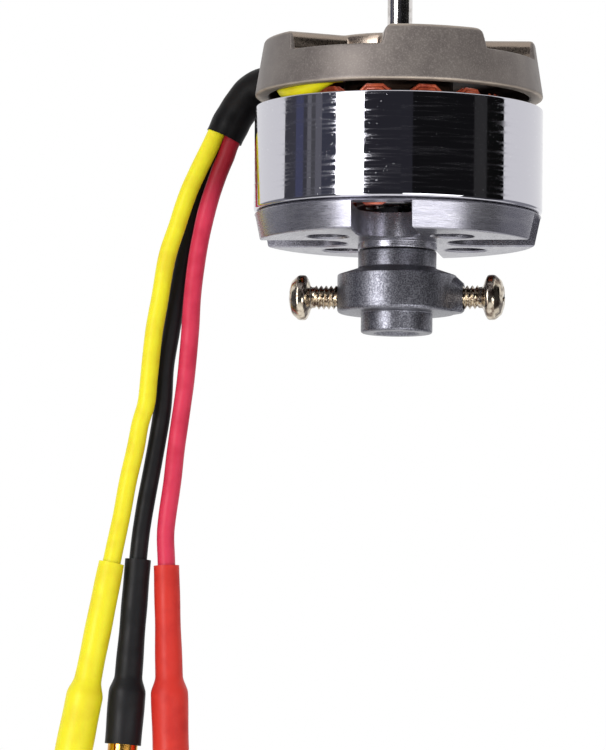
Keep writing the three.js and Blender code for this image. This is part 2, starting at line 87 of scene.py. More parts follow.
BUNDLE_ROUTE = [
    (-0.0075, 0.00483, -0.0033), (-0.0087, 0.0056, -0.003), (-0.0099, 0.0063, -0.0027),
    (-0.01095, 0.00685, -0.00265), (-0.01185, 0.0072, -0.00315), (-0.0126, 0.00735, -0.00415),
    (-0.01335, 0.0074, -0.00535), (-0.01402, 0.0074, -0.00678),
]
LEADS = {
    "yellow": {
        "tail": [
            (-0.00803, 0.00333, -0.0036), (-0.0086, 0.0017, -0.0036), (-0.0089, 0, -0.00365),
            (-0.0091, -0.0018, -0.0039), (-0.0089, -0.0034, -0.00435), (-0.0082, -0.0048, -0.00465),
            (-0.0072, -0.0059, -0.0045), (-0.0062, -0.00665, -0.00395), (-0.0054, -0.00685, -0.00355),
            (-0.0046, -0.00685, -0.00345),
        ],
        "inside_bundle": [(-0.01316, 0.00697, -0.00376), (-0.01395, 0.00702, -0.00503)],
        "route": [
            (-0.0148, 0.00698, -0.00682), (-0.01502, 0.00685, -0.00735), (-0.01557, 0.0067, -0.00854),
            (-0.0162, 0.0066, -0.0099), (-0.01678, 0.0066, -0.01125), (-0.01728, 0.0066, -0.0127),
            (-0.01773, 0.0066, -0.01419), (-0.0185, 0.0066, -0.01672), (-0.01904, 0.0066, -0.02014),
            (-0.01947, 0.0066, -0.02283), (-0.01979, 0.0066, -0.02623), (-0.01999, 0.0066, -0.0285),
            (-0.02046, 0.0066, -0.03021), (-0.02081, 0.0066, -0.03223), (-0.02139, 0.0066, -0.03491),
            (-0.02185, 0.0066, -0.03766), (-0.0226, 0.0066, -0.04145),
        ],
        "connector_end": (-0.02565, 0.0066, -0.0578),
        "shoulder": 0.57,  # where its connector's sleeve starts to widen, as a share of its length
    },
    "black": {
        "tail": [
            (-0.00719, 0.00463, -0.0036), (-0.0066, 0.00425, -0.00357), (-0.006, 0.00387, -0.00355),
            (-0.0053, 0.00342, -0.00355),
        ],
        "inside_bundle": [(-0.0126, 0.00811, -0.00415), (-0.01335, 0.00816, -0.00535)],
        "route": [
            (-0.01418, 0.0082, -0.00715), (-0.01442, 0.0083, -0.0078), (-0.0149, 0.0084, -0.0089),
            (-0.0154, 0.0084, -0.0102), (-0.0159, 0.0084, -0.0115), (-0.0166, 0.0084, -0.0142),
            (-0.01727, 0.00835, -0.0171), (-0.01767, 0.0081, -0.01963), (-0.01812, 0.0079, -0.02272),
            (-0.01852, 0.0078, -0.02541), (-0.01866, 0.0078, -0.02817), (-0.01888, 0.0078, -0.03012),
            (-0.01943, 0.0077, -0.03352), (-0.02011, 0.0076, -0.03758), (-0.0205, 0.0076, -0.0411),
        ],
        "connector_end": (-0.0215, 0.0076, -0.056),
        "shoulder": 0.63,
    },
    "red": {
        "tail": [
            (-0.00635, 0.00594, -0.0036), (-0.00575, 0.00635, -0.00357), (-0.0051, 0.00665, -0.00355),
            (-0.0043, 0.00685, -0.00355),
        ],
        "inside_bundle": [(-0.01204, 0.00697, -0.00454), (-0.01275, 0.00702, -0.00567)],
        "route": [
            (-0.01355, 0.007, -0.00745), (-0.01387, 0.007, -0.0084), (-0.0144, 0.007, -0.00975),
            (-0.01505, 0.007, -0.01176), (-0.01555, 0.007, -0.01376), (-0.01605, 0.007, -0.01653),
            (-0.0164, 0.007, -0.0197), (-0.01656, 0.007, -0.02279), (-0.01682, 0.007, -0.0262),
            (-0.01705, 0.007, -0.02822), (-0.01756, 0.007, -0.03219), (-0.01782, 0.007, -0.03486),
            (-0.01818, 0.007, -0.03761), (-0.0183, 0.007, -0.0393), (-0.01819, 0.007, -0.0416),
        ],
        "connector_end": (-0.0176, 0.007, -0.0572),
        "shoulder": 0.57,
    },
}


# ---- Sizes, in millimetres ----


def extent(node):
    """Outer radius about the motor's axis, bottom and top of a CAD node."""
    points = [vertex.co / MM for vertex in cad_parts[node].data.vertices]
    heights = [point.z for point in points]
    return max(point.xy.length for point in points), min(heights), max(heights)


MOUNT_RADIUS, MOUNT_BOTTOM, MOUNT_TOP = extent("motor_mount")
RING_RADIUS, RING_BOTTOM, RING_TOP = extent("flux_ring")
BELL_BOTTOM, BELL_TOP = extent("end_bell")[1:]
SAVER_BOTTOM, SAVER_TOP = extent("prop_saver")[1:]
SHAFT_RADIUS, SHAFT_BOTTOM, SHAFT_TOP = extent("shaft")
TUBE_RADIUS, TUBE_BOTTOM, TUBE_TOP = extent("bearing_tube")
STATOR_RADIUS, STATOR_BOTTOM, STATOR_TOP = extent("stator_core")
MAGNET_RADIUS, MAGNET_BOTTOM, MAGNET_TOP = extent("magnet_01")
WASHER_RADIUS, WASHER_BOTTOM, WASHER_TOP = extent("shaft_washer")
CLIP_RADIUS, CLIP_BOTTOM, CLIP_TOP = extent("shaft_clip")

FIT = 0.05  # gap between pieces that touch
OVERRUN = 1  # how far a cutter runs past the surface that it cuts
SHORT_OVERRUN = 0.5  # the same above the mount, and at the mouths of drilled holes
RING_WALL = 0.8
RING_SETBACK = 0.2  # how far the ring's polished upper edge stands below the model's
MOUNT = Sizes(
    top_radius=10.8,
    rim_height=-4.35,
    skirt_inner=10.4,
    notch_floor=-1.6,
    plate_bottom=-2.7,
    hub_radius=6.1,
    boss_radius=4.3,
    boss_bottom=-4.3,
    shaft_opening=2.3,
    tube_ledge=-0.9,
    lean=1.7,  # degrees that a lug narrows on each side between its foot and its top
    lug_round=0.6,
    draft=0.12,  # how much the rim draws in at its bottom edge
    edge=0.15,  # radius of the plain edges
    grid=0.1,  # size of the even mesh that gives the casting its soft corners
    easing=3,  # rounds of smoothing on that mesh
)
NARROW_LUG = {"rim_half": 22.35, "hub_half": 31.8}  # half widths in degrees
WIDE_LUG = {"rim_half": 26, "hub_half": 36}
LUGS = [
    {"bearing": 14.65, **NARROW_LUG},
    {"bearing": 101.5, **WIDE_LUG},
    {"bearing": 194.65, **NARROW_LUG},
    {"bearing": 281.5, **WIDE_LUG},
]
MOUNT_SCREWS = Sizes(circle=8, radius=0.8)
COOLING_WINDOW = Sizes(inner=6.9, outer=9.7, half=12)  # half is in degrees
LEAD_CHANNEL = Sizes(bearing=-122.8, width=3.6, inner=8.2, corner=0.8)

BEARING = Sizes(
    height=2.5,
    outer=2.5,
    race=2.05,
    inner=1.5,
    groove_depth=0.08,
    shield=0.15,
    shield_bore=1.6,
)
BALLS = Sizes(count=7, circle=1.775, radius=0.24, cage_wall=0.12, cage_height=0.5)
CLIP_OPENING = 60  # degrees
CLIP_EDGE = 0.04

STATOR = Sizes(
    bore=3.35,
    hub=4.3,
    tooth_width=1.5,
    tip_inner=8.2,
    teeth=12,
    tip_half=13,
    first_tooth=15,  # bearing
    sheets=17,
    sheet_gap=0.04,
)
WIRE = Sizes(
    radius=0.15,
    first_layer=1.02,
    layer_step=0.26,
    starts=(5.15, 6.2, 7.0),  # each layer's inner end, as a distance from the axis
    outer=7.86,
    liner=0.12,  # insulation on the ends of the tooth
    points_in_turn=18,
    sides=7,
    side_power=0.5,  # powers under 1 square off the shape of a turn
    end_power=0.3,
    bulge=0.9,
    lean=0.2,
    loose=0.05,  # how far a wire strays at the coil's heads
    tight=0.01,  # and along its sides
)

MAGNETS = Sizes(count=14, inner=9.25, half=11.6, edge=0.1)
ROTOR_BEARING = -7.6  # where the first bell slot and the two collar screws are clocked from
BELL = Sizes(
    radius=11.42,
    face_radius=10.98,
    seam=-13.76,
    tuck=0.3,  # how far the bell draws in just under the ring
    slot_top=-13.95,
    floor_top=-14.1,
    face=-16.1,
    boss_radius=3.15,
    spigot_inner=9.9,
    spacer_radius=1.5,
    spacer_top=-13.3,
    spacer_foot=2.6,
)
SLOT = Sizes(width=4.8, inner_radius=4, count=4, chamfer=0.12)
BELL_HOLE = Sizes(circle=7, radius=1.65)
SAVER = Sizes(
    neck_radius=3.12,
    shoulder_top=-18.15,
    shoulder_bottom=-18.7,
    collar_radius=4.75,
    collar_bottom=-21.7,
    nose_radius=2.85,
    mouth_radius=1.9,
    mouth_top=-22.6,
)
SCREW = Sizes(
    height=-20.42,
    major=0.95,
    minor=0.71,
    pitch=0.4,
    hole=1.02,
    hole_end=0.2,
    hole_chamfer=0.05,
    tip=1.25,
    lead_in=0.2,  # height of the thread at the screw's tip, as a share of its full height
    thread_end=6.55,
    head_inner=7.1,
    head_outer=8.58,
    head_radius=1.8,
    rows_in_turn=12,
    thread_flat=0.1,  # width of the thread's crest and root, as a share of its pitch
)
RECESS = Sizes(
    turns=(20, 110),
    depth=0.85,
    floor_reach=0.3,
    floor_half=0.12,
    mouth_reach=1.12,
    mouth_half=0.2,
    above=0.3,
)
SCREW_BOSS = Sizes(foot=4.2, mouth=5.35, foot_radius=2.15, mouth_radius=1.12, trim=0.05)
SHAFT_CHAMFER = 0.15

LEAD_RADIUS = 0.72
LEAD_WAVER = Sizes(size=2.5, depth=0.03)  # uneven thickness: how wide and how deep
LEAD_INSIDE_CONNECTOR = 7
LEAD_SIDES = 28
PAINTED_SHADE_HEIGHTS = (-14, -9)  # heights between which a lead's painted shade sets in
TUBE_SIDES = 40
SPACING = Sizes(bundle=0.22, lead=0.35, tail=0.3, sleeve=0.2)  # between rings along a route
BUNDLE = Sizes(
    wide=1.54,
    thin=1.62,
    wall=0.2,
    start=0.92,  # size at the motor, as a share of the full size
    full_at=0.7,
    wrinkle=0.015,
    waves=(34, 5),
)
SHRINK = Sizes(
    thin=1.02,
    wide=1.48,
    swell=0.16,
    wall=0.24,
    widening=0.09,
    flatness=0.97,
    slumps=((0.02, 9, 1), (0.012, 23, 2)),  # depth, waves and shift from sleeve to sleeve
)
BULLET = Sizes(
    radius=1.2,
    bore=0.95,
    proud=1.9,
    length=6.6,
    bore_depth=5,
    closed_end=0.2,
    slot=0.16,
    slot_depth=3.8,
    slot_turns=(30, 120),
    groove=(2.6, 2.1),  # from and to, back from the mouth
    groove_depth=0.07,
    groove_slope=0.1,
)

# Straight steps in a full turn of each turned piece.
STEPS = Sizes(
    mount=240,
    bell=240,
    ring=288,
    saver=160,
    tube=128,
    bearing=96,
    shaft=96,
    washer=96,
    stator=72,
    bullet=72,
    cage=64,
    boss=64,
    drill=48,
    screw=48,
)
# Straight steps along an arc that isn't a full turn.
ARC_STEPS = Sizes(
    notch=16,
    window_inner=12,
    window_outer=16,
    clip_inner=40,
    clip_outer=48,
    tooth=8,
    magnet=10,
    slot=32,
    lug_round=6,
)


# ---- Mesh helpers ----

CORNER_LIMIT = 0.45  # the most of a side that one rounded corner takes up
WELD = 1e-5  # points closer than this become one
SOFT_ANGLE = 40  # degrees: an edge sharper than this is rounded
CURVE_STEPS = 12  # between two points of a cord route


def at(radius, bearing, z=0.0):
    angle = math.radians(bearing)
    return Vector((radius * math.sin(angle), -radius * math.cos(angle), z))


def arc(radius, start, end, steps):
    """Points of a plan outline along an arc about the axis, both ends included."""
    return [at(radius, start + (end - start) * step / steps).xy for step in range(steps + 1)]


def rounded(outline, radius, closed=True, steps=4):
    """The outline with each corner turned into a curve. A corner may give its own radius third."""
    points = []
    for index, corner in enumerate(outline):
        here = Vector(corner[:2])
        if not closed and index in (0, len(outline) - 1):
            points.append(here)
            continue
        size = corner[2] if len(corner) > 2 else radius
        to_before = Vector(outline[index - 1][:2]) - here
        to_after = Vector(outline[(index + 1) % len(outline)][:2]) - here
        half_turn = to_before.angle(to_after) / 2
        room = CORNER_LIMIT * min(to_before.length, to_after.length)
        reach = min(size / math.tan(half_turn), room)
        start = here + to_before.normalized() * reach
        end = here + to_after.normalized() * reach
        for step in range(steps + 1):
            share = step / steps
            points.append(start * (1 - share) ** 2 + here * 2 * share * (1 - share) + end * share**2)
    return points


def mesh_object(name, vertices, faces):
    """A mesh object with its faces turned outwards."""
    mesh = bpy.data.meshes.new(name)
    mesh.from_pydata(vertices, [], faces)
    sides = bmesh.new()
    sides.from_mesh(mesh)
    bmesh.ops.remove_doubles(sides, verts=sides.verts, dist=WELD)
    bmesh.ops.recalc_face_normals(sides, faces=sides.faces)
    sides.to_mesh(mesh)
    sides.free()
    return add_object(name, mesh)


def in_mm(points):
    return [Vector(point) / MM for point in points]


def loft(name, rings, closed=False):
    """A surface through rings of points. Its ends are joined to each other, or capped."""
    size = len(rings[0])
    faces = []
    for row in range(len(rings) if closed else len(rings) - 1):
        here = row * size
        after = (row + 1) % len(rings) * size
        for place in range(size):
            beside = (place + 1) % size
            faces.append((here + place, here + beside, after + beside, after + place))
    if not closed:
        faces.append(tuple(range(size)))
        faces.append(tuple(range((len(rings) - 1) * size, len(rings) * size)))
    return mesh_object(name, [point for ring in rings for point in ring], faces)


def turned_rings(profile, steps):
    return [[at(radius, 360 * step / steps, z) for step in range(steps)] for radius, z in profile]


def lathe(name, profile, steps, closed=True):
    """A solid turned about Z. A closed profile goes round a hollow, and an open one is capped."""
    return loft(name, turned_rings(profile, steps), closed)


def plate(name, outline, bottom, top, hole=None):
    """A flat plate with an outline, and one hole if it is given."""
    loops = [outline] if hole is None else [outline, hole]
    flat = [Vector((x, y, 0)) for loop in loops for x, y in loop]
    count = len(flat)
    vertices = [point + Vector((0, 0, z)) for z in (bottom, top) for point in flat]
    faces = []
    start = 0
    for loop in loops:
        for place in range(len(loop)):
            here = start + place
            beside = start + (place + 1) % len(loop)
            faces.append((here, beside, count + beside, count + here))
        start += len(loop)
    for a, b, c in tessellate_polygon([[Vector((x, y, 0)) for x, y in loop] for loop in loops]):
        faces.append((a, b, c))
        faces.append((count + a, count + b, count + c))
    return mesh_object(name, vertices, faces)


def settle(piece):
    """Applies the modifiers of a piece."""
    bpy.context.view_layer.update()
    seen = piece.evaluated_get(bpy.context.evaluated_depsgraph_get())
    mesh = bpy.data.meshes.new_from_object(seen)
    piece.modifiers.clear()
    piece.data = mesh
    return piece


def combine(piece, operation, others):
    """Joins or cuts a piece by others, which are used up."""
    for other in others:
        modifier = piece.modifiers.new(operation.lower(), "BOOLEAN")
        modifier.operation = operation
        modifier.solver = "EXACT"
        modifier.object = other
    settle(piece)
    for other in others:
        bpy.data.objects.remove(other)
    return piece


def cut(piece, *cutters):
    return combine(piece, "DIFFERENCE", cutters)


def moved(piece, matrix):
    piece.data.transform(matrix)
    return piece


def turned_to(piece, bearing):
    return moved(piece, Matrix.Rotation(math.radians(bearing), 4, "Z"))


def lay_along(piece, bearing, height):
    """Lays a solid made along Z so that it points along a bearing."""
    lying = Matrix.Rotation(math.radians(bearing), 4, "Z") @ Matrix.Rotation(math.radians(90), 4, "X")
    return moved(piece, Matrix.Translation((0, 0, height)) @ lying)


def soften(piece, width):
    """Rounds the sharp edges of a piece."""
    bevel = piece.modifiers.new("soften", "BEVEL")
    bevel.width = width
    bevel.segments = 2
    bevel.limit_method = "ANGLE"
    bevel.angle_limit = math.radians(SOFT_ANGLE)
    return settle(piece)


def join(name, pieces):
    """One piece from several."""
    mesh = bpy.data.meshes.new(name)
    together = bmesh.new()
    for piece in pieces:
        together.from_mesh(piece.data)
        bpy.data.objects.remove(piece)
    together.to_mesh(mesh)
    together.free()
    return add_object(name, mesh)


def finish(piece, body, slot, look, *nodes, sharp=32):
    """Scales a piece to metres, gives it its shading, look and body, and hides the CAD nodes that it stands
    for. The slot is not used.
    """
    moved(piece, Matrix.Scale(MM, 4))
    piece.data.shade_smooth()
    piece.data.set_sharp_from_angle(angle=math.radians(sharp))
    flatter = piece.modifiers.new("even_faces", "WEIGHTED_NORMAL")
    flatter.keep_sharp = True
    piece.data.materials.clear()
    piece.data.materials.append(look)
    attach(piece, body)
    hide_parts(*nodes)
    return piece


def smooth_route(points, spacing):
    """Evenly spaced points along a smooth curve through given ones."""
    ends = [2 * points[0] - points[1], *points, 2 * points[-1] - points[-2]]
    fine = []
    for a, b, c, d in zip(ends, ends[1:], ends[2:], ends[3:]):
        for step in range(CURVE_STEPS):
            t = step / CURVE_STEPS
            curve = 2 * b + (c - a) * t + (2 * a - 5 * b + 4 * c - d) * t**2
            fine.append((curve + (3 * b - a - 3 * c + d) * t**3) / 2)
    fine.append(points[-1])
    lengths = [0.0]
    for before, after in zip(fine, fine[1:]):
        lengths.append(lengths[-1] + (after - before).length)
    count = max(2, round(lengths[-1] / spacing))
    even = []
    place = 0
    for step in range(count + 1):
        wanted = lengths[-1] * step / count
        while place < len(fine) - 2 and lengths[place + 1] < wanted:
            place += 1
        share = (wanted - lengths[place]) / (lengths[place + 1] - lengths[place])
        even.append(fine[place].lerp(fine[place + 1], share))
    return even


def section_rings(route, size_at, sides, thin_axis=(0, 1, 0)):
    """Rings across a route. size_at gives the half width and half thickness at a share of its length."""
    rings = []
    last = len(route) - 1
    for index, point in enumerate(route):
        along = (route[min(index + 1, last)] - route[max(index - 1, 0)]).normalized()
        thin = Vector(thin_axis)
        thin = (thin - along * thin.dot(along)).normalized()
        wide = along.cross(thin)
        half_wide, half_thin = size_at(index / last)
        turns = [2 * math.pi * side / sides for side in range(sides)]
        rings.append([point + wide * half_wide * math.cos(t) + thin * half_thin * math.sin(t) for t in turns])
    return rings


# ---- Material helpers ----


def colour(red, green, blue):
    """A linear colour from the 0 to 255 values that a screen shows."""
    linear = [((value / 255 + 0.055) / 1.055) ** 2.4 for value in (red, green, blue)]
    return (*linear, 1)


class Look:
    """A Principled material, with short calls for the nodes that feed it."""

    def __init__(self, name, **sockets):
        self.material = bpy.data.materials.new(name)
        self.material.use_nodes = True
        self.tree = self.material.node_tree
        self.shader = self.tree.nodes["Principled BSDF"]
        self.place = self.node("TexCoord").outputs["Object"]
        for socket, value in sockets.items():
            self.set(socket.replace("_", " ").title().replace("Ior", "IOR"), value)

    def set(self, socket, value):
        self.feed(self.shader.inputs[socket], value)

    def feed(self, socket, value):
        if isinstance(value, bpy.types.NodeSocket):
            self.tree.links.new(value, socket)
        else:
            socket.default_value = value

    def node(self, kind, inputs=None, **settings):
        node = self.tree.nodes.new("ShaderNode" + kind)
        for name, value in settings.items():
            setattr(node, name, value)
        for name, value in (inputs or {}).items():
            self.feed(node.inputs[name], value)
        return node

    def math(self, operation, *values):
        inputs = dict(enumerate(values))
        return self.node("Math", inputs, operation=operation).outputs[0]

    def times(self, product, *others):
        for other in others:
            product = self.math("MULTIPLY", product, other)
        return product

    def split(self, place):
        return self.node("SeparateXYZ", {0: place}).outputs

    def height(self):
        return self.split(self.place)[2]

    def radius(self):
        return self.split(self.turned_place())[0]

    def turned_place(self, around=0.0):
        """Distance from the axis, height, and a little of the way round, for marks left by turning."""
        x, y, z = self.split(self.place)
        flat = self.node("CombineXYZ", {0: x, 1: y}).outputs[0]
        radius = self.node("VectorMath", {0: flat}, operation="LENGTH").outputs["Value"]
        turn = self.times(self.math("ARCTAN2", x, y), around * MM)
        return self.node("CombineXYZ", {0: radius, 1: z, 2: turn}).outputs[0]

    def noise(self, size, detail, place=None):
        """Noise with features about so many millimetres wide, from 0 to 1."""
        inputs = {"Vector": place or self.place, "Scale": 1 / (size * MM), "Detail": detail}
        return self.node("TexNoise", inputs).outputs[0]

    def between(self, value, low, high, to_low=0.0, to_high=1.0):
        """The value's way from low to high, as a number between two others."""
        inputs = {"Value": value, "From Min": low, "From Max": high, "To Min": to_low, "To Max": to_high}
        return self.node("MapRange", inputs, interpolation_type="SMOOTHSTEP").outputs[0]

    def past(self, place, start, end, most=1.0):
        """Rises from 0 to the most where a place goes from one number of millimetres to another."""
        return self.between(place, start * MM, end * MM, 0, most)

    def blend(self, share, first, second):
        """Mixes two colours. Each is given as screen values, or comes from another node."""
        mix = self.node("Mix", data_type="RGBA")
        self.feed(mix.inputs[0], share)
        for socket, tone in ((mix.inputs[6], first), (mix.inputs[7], second)):
            self.feed(socket, colour(*tone) if isinstance(tone, tuple) else tone)
        return mix.outputs[2]

    def bump(self, *layers):
        """Adds relief to the surface. A layer is its height and its depth in millimetres."""
        normal = None
        for height, depth in layers:
            inputs = {"Height": height, "Distance": depth * MM, "Strength": 1.0}
            if normal is not None:
                inputs["Normal"] = normal
            normal = self.node("Bump", inputs).outputs[0]
        self.set("Normal", normal)

    def finished(self, base, rough, *layers):
        self.set("Base Color", base)
        self.set("Roughness", rough)
        self.bump(*layers)
        return self.material


# ---- Materials ----


def cast_metal():
    """Bead-blasted casting with edges worn light and a painted edge highlight, smoother where the notches are
    milled, with painted shade inside.
    """
    look = Look("mount_casting", specular_ior_level=0.4)
    grain = look.noise(0.13, 3)
    mottling = look.noise(1.6, 3)
    height, radius = look.height(), look.radius()
    plate_bottom, floor = MOUNT.plate_bottom, MOUNT.notch_floor
    skirt, rim = MOUNT.skirt_inner, MOUNT.top_radius
    # Painted edge highlight, partly real wear: the rim's bottom edge and the lugs' tops are made lighter in
    # colour.
    rim_wear_and_highlight = look.past(height, MOUNT_BOTTOM + 0.22, MOUNT_BOTTOM + 0.05, 0.72)
    lug_top_wear_and_highlight = look.past(height, MOUNT_TOP - 0.3, MOUNT_TOP - 0.05, 0.5)
    wear_and_edge_highlight = look.times(look.math("ADD", rim_wear_and_highlight, lug_top_wear_and_highlight), look.between(mottling, 0.25, 0.65, 0.55, 1))
    # Painted shade: the inside of the skirt, below the plate, is darkened in colour.
    under = look.past(height, plate_bottom + 0.1, plate_bottom - 0.1)
    inside = look.times(under, look.past(radius, skirt + 0.15, skirt + 0.05))
    above_floor = look.past(height, floor + 0.05, floor + 0.15)
    below_top = look.past(height, MOUNT_TOP - 0.12, MOUNT_TOP - 0.25)
    milled = look.times(above_floor, below_top, look.past(radius, rim - 0.1, rim - 0.2))
    base = look.blend(look.between(mottling, 0.3, 0.7), (102, 95, 92), (112, 105, 101))
    sparkle = look.between(grain, 0.45, 0.75, 0, 0.5)
    base = look.blend(sparkle, base, (138, 131, 126))
    # Wear and painted edge highlight: lighter colour on the rim's bottom edge and the lugs' tops.
    base = look.blend(wear_and_edge_highlight, base, (186, 172, 156))
    # Painted shade inside the skirt.
    base = look.blend(inside, base, (58, 44, 36))
    base = look.blend(milled, base, (154, 140, 128))
    look.set("Metallic", look.between(milled, 0, 1, 0.7, 1))
    blasted = look.between(grain, 0.3, 0.7, 0.42, 0.52)
    rough = look.math("SUBTRACT", blasted, look.times(milled, 0.17))
    pitting = look.times(grain, look.between(milled, 0, 1, 1, 0.15))
    return look.finished(base, rough, (pitting, 0.006), (mottling, 0.01))


def chrome():
    """Polished plating, a little duller along some of its turning lines."""
    look = Look("chrome_plating", metallic=1.0)
    lines = look.noise(0.22, 2, look.turned_place(0.6))
    soft_lines = look.noise(0.5, 1, look.turned_place(3))
    specks = look.between(look.noise(0.1, 0), 0.82, 0.85)
    base = look.blend(specks, (195, 194, 202), (235, 235, 238))
    rough = look.between(lines, 0.43, 0.66, 0.03, 0.15)
    return look.finished(base, rough, (soft_lines, 0.0015), (specks, 0.002))


def gunmetal(name, dark, light, glint, gloss, grain_size, sparkle):
    """Anodised aluminium, still without relief, and the lines, bands and grain to make its relief from."""
    look = Look(name, metallic=0.9)
    lines = look.noise(0.06, 3, look.turned_place(0.8))
    bands = look.noise(0.6, 2, look.turned_place(2))
    grain = look.noise(grain_size, 3)
    tone = look.blend(look.between(bands, 0.3, 0.7), dark, light)
    look.set("Base Color", look.blend(look.between(grain, *sparkle), tone, glint))
    look.set("Roughness", look.between(lines, 0.3, 0.75, gloss, gloss + 0.14))
    return look, lines, bands, grain


def bell_gunmetal():
    """Turned, so that the tool's lines show."""
    tones = (135, 134, 144), (151, 150, 158), (172, 171, 178)
    look, lines, bands, grain = gunmetal("bell_gunmetal", *tones, 0.22, 0.09, (0.55, 0.75, 0, 0.4))
    look.bump((lines, 0.003), (bands, 0.006), (grain, 0.004))
    return look.material


def saver_gunmetal():
    """Darker, and blasted, so that it sparkles."""
    tones = (76, 76, 84), (90, 90, 98), (138, 138, 146)
    look, _, bands, grain = gunmetal("saver_gunmetal", *tones, 0.31, 0.11, (0.36, 0.68))
    look.bump((grain, 0.008), (bands, 0.003))
    return look.material


def steel(name, tone, rough):
    """Ground steel with fine lines around the axis."""
    look = Look(name, metallic=1.0)
    lines = look.noise(0.05, 2, look.turned_place(1))
    stains = look.noise(0.8, 3)
    base = look.blend(look.between(stains, 0.45, 0.75), tone, (168, 163, 158))
    return look.finished(base, look.between(lines, 0.3, 0.7, rough, rough + 0.1), (lines, 0.0012))


def patchy(name, tones, rough, patch, grain, depth, spread=None, **sockets):
    """A look whose colour and gloss change in patches. A patch and a grain each have a size and a detail."""
    look = Look(name, **sockets)
    patches = look.noise(*patch)
    share = look.between(patches, *spread) if spread else patches
    gloss = look.between(patches, 0.3, 0.7, *rough)
    return look.finished(look.blend(share, *tones), gloss, (look.noise(*grain), depth))


def nickel():
    """Warm nickel plating, duller and browner in patches."""
    tones = (206, 195, 177), (112, 97, 86)
    return patchy("nickel_plating", tones, (0.1, 0.24), (0.45, 3), (0.1, 2), 0.002, (0.4, 0.68), metallic=1.0)


def gold():
    tones = (246, 190, 92), (214, 150, 62)
    return patchy("gold_plating", tones, (0.14, 0.28), (0.5, 3), (0.07, 2), 0.0015, (0.4, 0.8), metallic=1.0)


def copper():
    """Enamelled winding wire."""
    tones = (146, 60, 42), (192, 94, 64)
    coat = {"metallic": 0.35, "coat_weight": 0.8, "coat_roughness": 0.06}
    return patchy("copper_wire", tones, (0.2, 0.34), (0.7, 2), (0.06, 1), 0.002, (0.3, 0.7), **coat)


def enamel():
    """Epoxy coat on the stator's laminations."""
    tones = (34, 58, 46), (52, 84, 66)
    return patchy("lamination_enamel", tones, (0.3, 0.5), (0.9, 3), (0.25, 2), 0.012)


def magnet_plating():
    tones = (150, 150, 154), (188, 188, 190)
    return patchy("magnet_plating", tones, (0.25, 0.42), (0.8, 3), (0.12, 2), 0.003, metallic=1.0)


def insulation(name, tone, shade, gloss, shine=0.2, coarse=0.9, painted_shade_tone=None):
    """Lead insulation or shrink tube: slightly uneven in colour, with a soft fine grain.

    Towards the motor an optional darker tone is painted shade.
    """
    look = Look(name, specular_ior_level=shine, subsurface_weight=0.12, subsurface_scale=0.0006)
    clouds = look.noise(coarse * 2.2, 3)
    grain = look.noise(0.11, 3)
    base = look.blend(look.between(clouds, 0.4, 0.75), tone, shade)
    base = look.blend(look.between(grain, 0.62, 0.75, 0, 0.35), base, shade)
    # Painted shade: darker towards the motor.
    if painted_shade_tone is not None:
        base = look.blend(look.past(look.height(), *PAINTED_SHADE_HEIGHTS), base, painted_shade_tone)
    rough = look.between(clouds, 0.3, 0.7, gloss, gloss + 0.14)
    return look.finished(base, rough, (grain, 0.004), (look.noise(coarse, 2), 0.02))


# ---- Motor mount and bearings ----


def notch_outline(lug, next_lug, lean, flare):
    """The gap between two lugs, as an outline that reaches past the rim.

    Lean is how far each lug has narrowed, in degrees. Flare is how much wider its rounded top makes the gap.
    """
    past_rim, flare_at_hub = 1.4, 0.4
    hub_radius = MOUNT.hub_radius - flare_at_hub * flare
    hub_give = lean + math.degrees(flare / MOUNT.hub_radius)
    rim_give = lean + math.degrees(flare / MOUNT_RADIUS)

    def side(which, sign):
        hub = at(hub_radius, which["bearing"] + sign * (which["hub_half"] - hub_give))
        rim = at(MOUNT_RADIUS, which["bearing"] + sign * (which["rim_half"] - rim_give))
        return hub.lerp(rim, past_rim).xy

    start = lug["bearing"] + lug["hub_half"] - hub_give
    end = next_lug["bearing"] - next_lug["hub_half"] + hub_give
    return [side(lug, 1), *arc(hub_radius, start, end, ARC_STEPS.notch), side(next_lug, -1)]


def notch_cutter(lug, next_lug):
    """Cuts one gap between lugs, and rounds the lugs' top corners."""
    floor = MOUNT.notch_floor
    corner = MOUNT.lug_round
    levels = [(floor, 0.0), (MOUNT_TOP - corner, 0.0)]
    steps = ARC_STEPS.lug_round
    for step in range(1, steps + 1):
        angle = math.radians(90 * step / steps)
        levels.append((MOUNT_TOP - corner + corner * math.sin(angle), corner * (1 - math.cos(angle))))
    levels.append((MOUNT_TOP + SHORT_OVERRUN, corner))
    rings = []
    for z, flare in levels:
        lean = MOUNT.lean * (min(z, MOUNT_TOP) - floor) / (MOUNT_TOP - floor)
        outline = notch_outline(lug, next_lug, lean, flare)
        rings.append([Vector((x, y, z)) for x, y in outline])
    return loft("notch", rings)


def hole_cutter(radius, bottom, top, place, flare=0.15):
    """Drills a round hole with a chamfered mouth at both ends."""
    profile = [
        (radius + flare + SHORT_OVERRUN, bottom - SHORT_OVERRUN),
        (radius, bottom + flare),
        (radius, top - flare),
        (radius + flare + SHORT_OVERRUN, top + SHORT_OVERRUN),
    ]
    return moved(lathe("drill", profile, STEPS.drill, closed=False), Matrix.Translation(place))


def window_cutter(bearing):
    """Cuts a cooling window through the mount's plate."""
    start, end = bearing - COOLING_WINDOW.half, bearing + COOLING_WINDOW.half
    inner = arc(COOLING_WINDOW.inner, start, end, ARC_STEPS.window_inner)
    outer = arc(COOLING_WINDOW.outer, end, start, ARC_STEPS.window_outer)
    return plate("window", [*inner, *outer], MOUNT.plate_bottom - OVERRUN, MOUNT_TOP)


